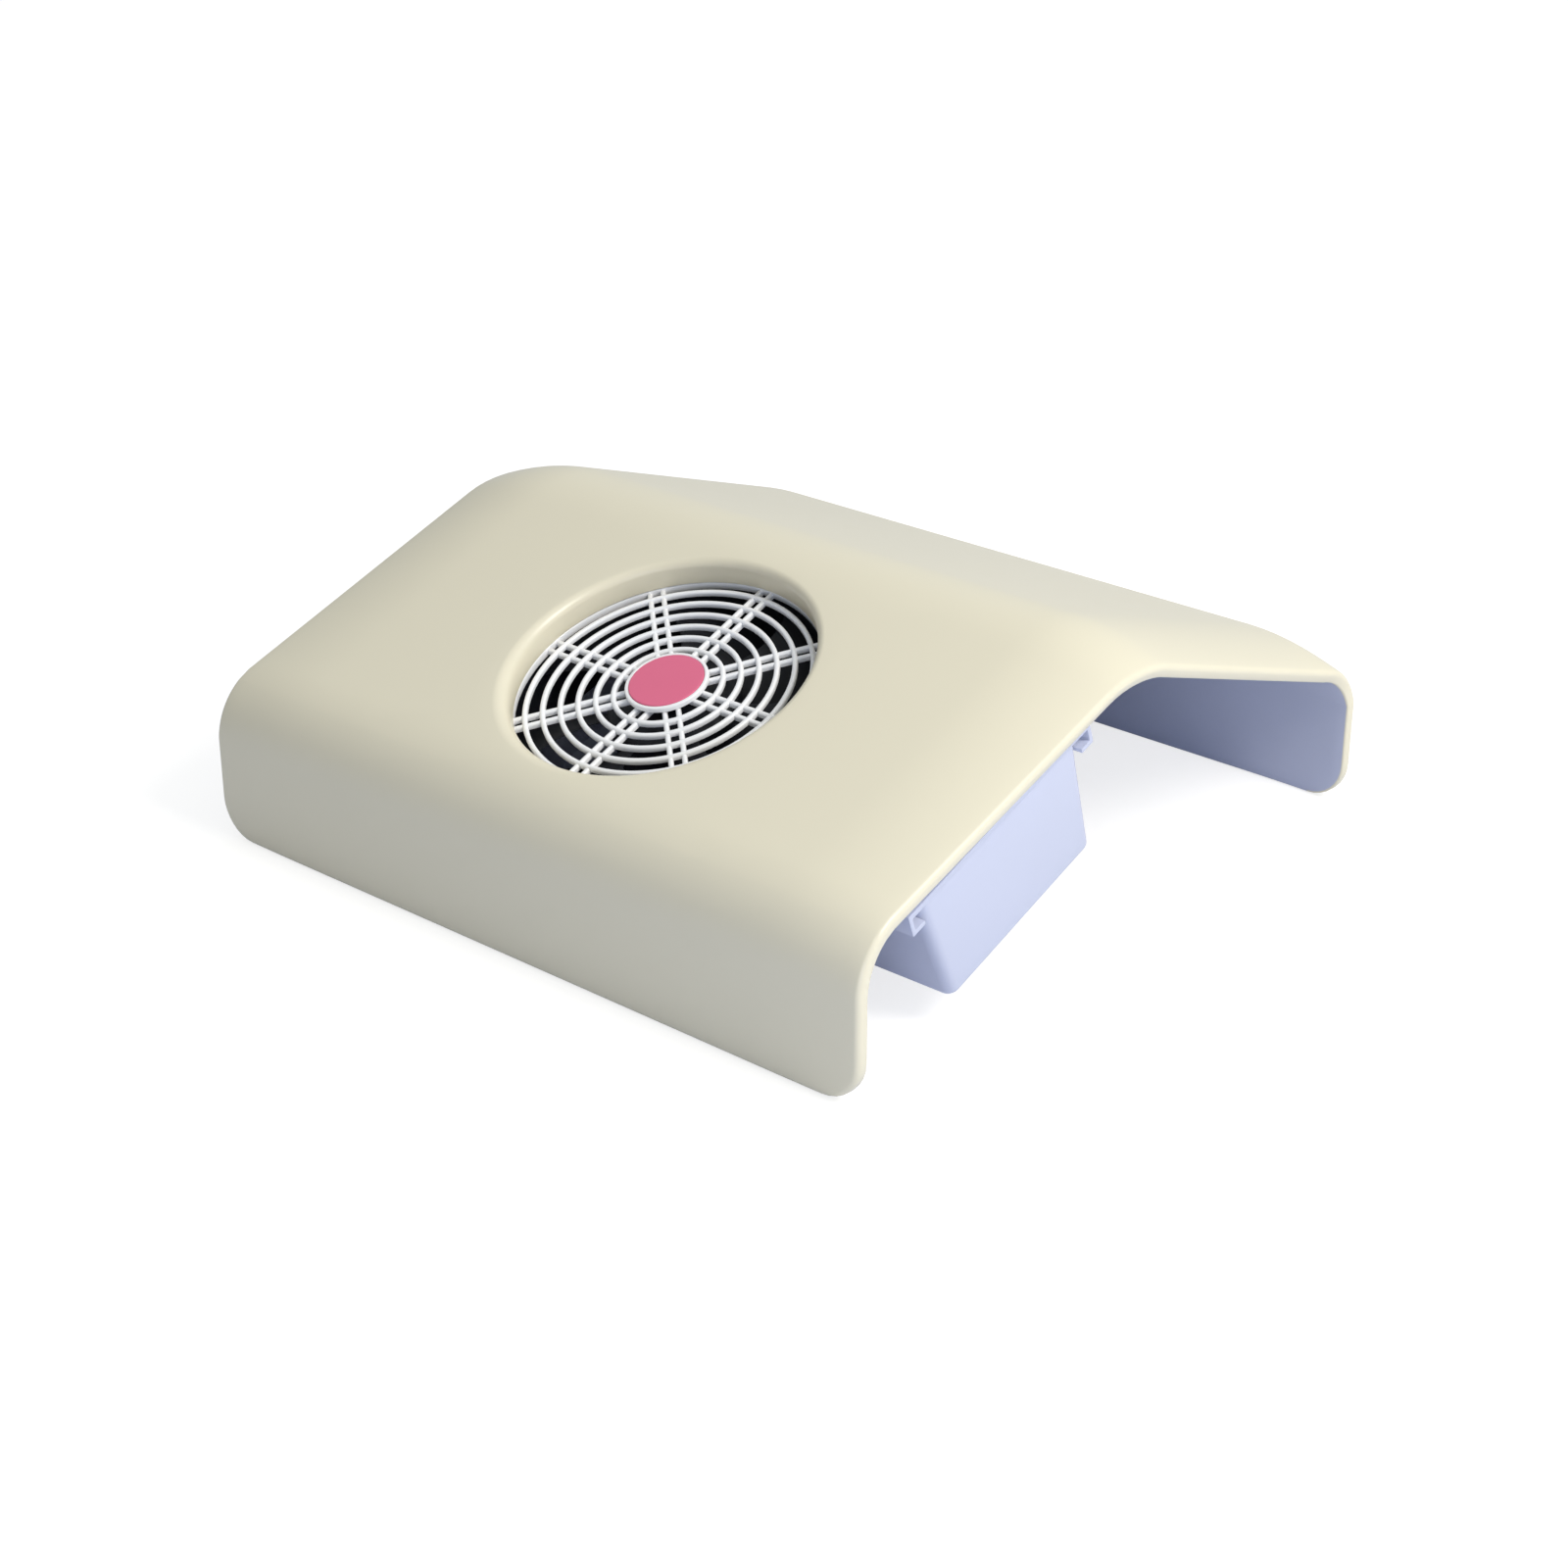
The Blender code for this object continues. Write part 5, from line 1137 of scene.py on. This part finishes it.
def make_control_box():
    start = -BOX_END
    end = -CONTROL_START
    cover_top = box_bottom + CONTROL_COVER
    control_low = cover_top + GAP
    ceiling = box_top - BOX_FLOOR
    levels = tub_levels(box_top, control_low, ceiling, CONTROL_TOP_TURN, CONTROL_RIM_TURN, CONTROL_NOOK_TURN)
    box = box_solid("control_tub", start, end, levels, [lavender], body="housing", replaces=["control_box"],
                    slot="lavender_box")
    y = box_half_width(control_low) - CORNER_BOSS_INSET
    bosses = [(x, side * y) for x in (start + CORNER_BOSS_INSET, end - CORNER_BOSS_INSET) for side in (-1, 1)]
    pillars = []
    cuts = []
    for i, place in enumerate(bosses):
        pillars.append(rod(f"boss_{i}", place, CORNER_BOSS_RADIUS, control_low + SEAM,
                           ceiling + BOX_FLOOR / 2, [lavender], POST_SEGMENTS))
        cuts.append(rod(f"boss_pilot_{i}", place, small_bore, control_low - CUT_OVERRUN,
                        control_low + SMALL_SCREW_LENGTH, [lavender]))
    for i, place in enumerate(control_post_places):
        cuts.append(rod(f"post_hole_{i}", place, small_bore, ceiling - CUT_OVERRUN, box_top + CUT_OVERRUN,
                        [lavender]))
    level = -SWITCH_DEPTH
    half_y = SWITCH_BODY[1] / 2 + GAP
    half_z = SWITCH_BODY[2] / 2 + GAP
    outside = start - CUT_OVERRUN
    inside = start + BOX_WALL + CUT_OVERRUN
    cuts.append(block("switch_cutout", (outside, SWITCH_Y - half_y, level - half_z),
                      (inside, SWITCH_Y + half_y, level + half_z), [lavender]))
    hole = circle((JACK_Y, level), JACK_RADIUS + GAP, ROUND_HOLE_SEGMENTS)
    cuts.append(extruded("jack_cutout", hole, outside, inside, [lavender], turn=along_x))
    hole = circle((LEAD_Y, -LEAD_DEPTH), LEAD_HOLE_RADIUS, SCREW_HOLE_SEGMENTS)
    cuts.append(extruded("lead_cutout", hole, end - BOX_WALL - CUT_OVERRUN, end + CUT_OVERRUN, [lavender],
                         turn=along_x))
    combined(box, [("UNION", pillars), ("DIFFERENCE", cuts)])

    levels = rounded_levels(box_bottom, cover_top, LID_LOW_TURN, LID_HIGH_TURN)
    lid = box_solid("control_lid", start, end, levels, [lavender], body="housing", replaces=["control_cover"],
                    slot="lavender_box")
    holes = [rod(f"lid_hole_{i}", place, small_bore, box_bottom - CUT_OVERRUN, cover_top + CUT_OVERRUN,
                 [lavender]) for i, place in enumerate(bosses)]
    combined(lid, [("DIFFERENCE", holes)])


def make_gasket():
    profile = rounded_ring(GASKET_INNER_RADIUS, GASKET_OUTER_RADIUS, gasket_bottom, gasket_top, GASKET_EDGE,
                           GASKET_EDGE)
    ring = turned("foam_ring", profile, [foam], body="housing", replaces=["fan_gasket"], slot="grey_foam")


make_cover()
make_grille()
make_wheel()
make_drawer()
make_hanger()
make_control_box()
make_gasket()

# Better materials on the nodes that stay
finishes = {
    "duct_housing": lavender, "filter_grid": white, "fan_frame": black, "switch_rocker": black,
    "stator_core": core_steel, "coil_1": copper, "coil_2": copper, "coil_3": copper, "coil_4": copper,
    "fan_board": board, "magnet_ring": magnet, "fan_shaft": steel, "shaft_clip": steel, "jack_nut": steel,
    "bearing_upper": brass, "bearing_lower": brass, "jack_pin": brass, "switch_terminal_1": brass,
    "switch_terminal_2": brass, "switch_body": rubber, "power_jack": rubber, "fan_lead": rubber,
    "jack_lead": rubber,
}
for name, node in frame["nodes"].items():
    paint = finishes.get(name, steel if "screw" in name else None)
    if paint:
        for place in node.material_slots:
            place.material = paint
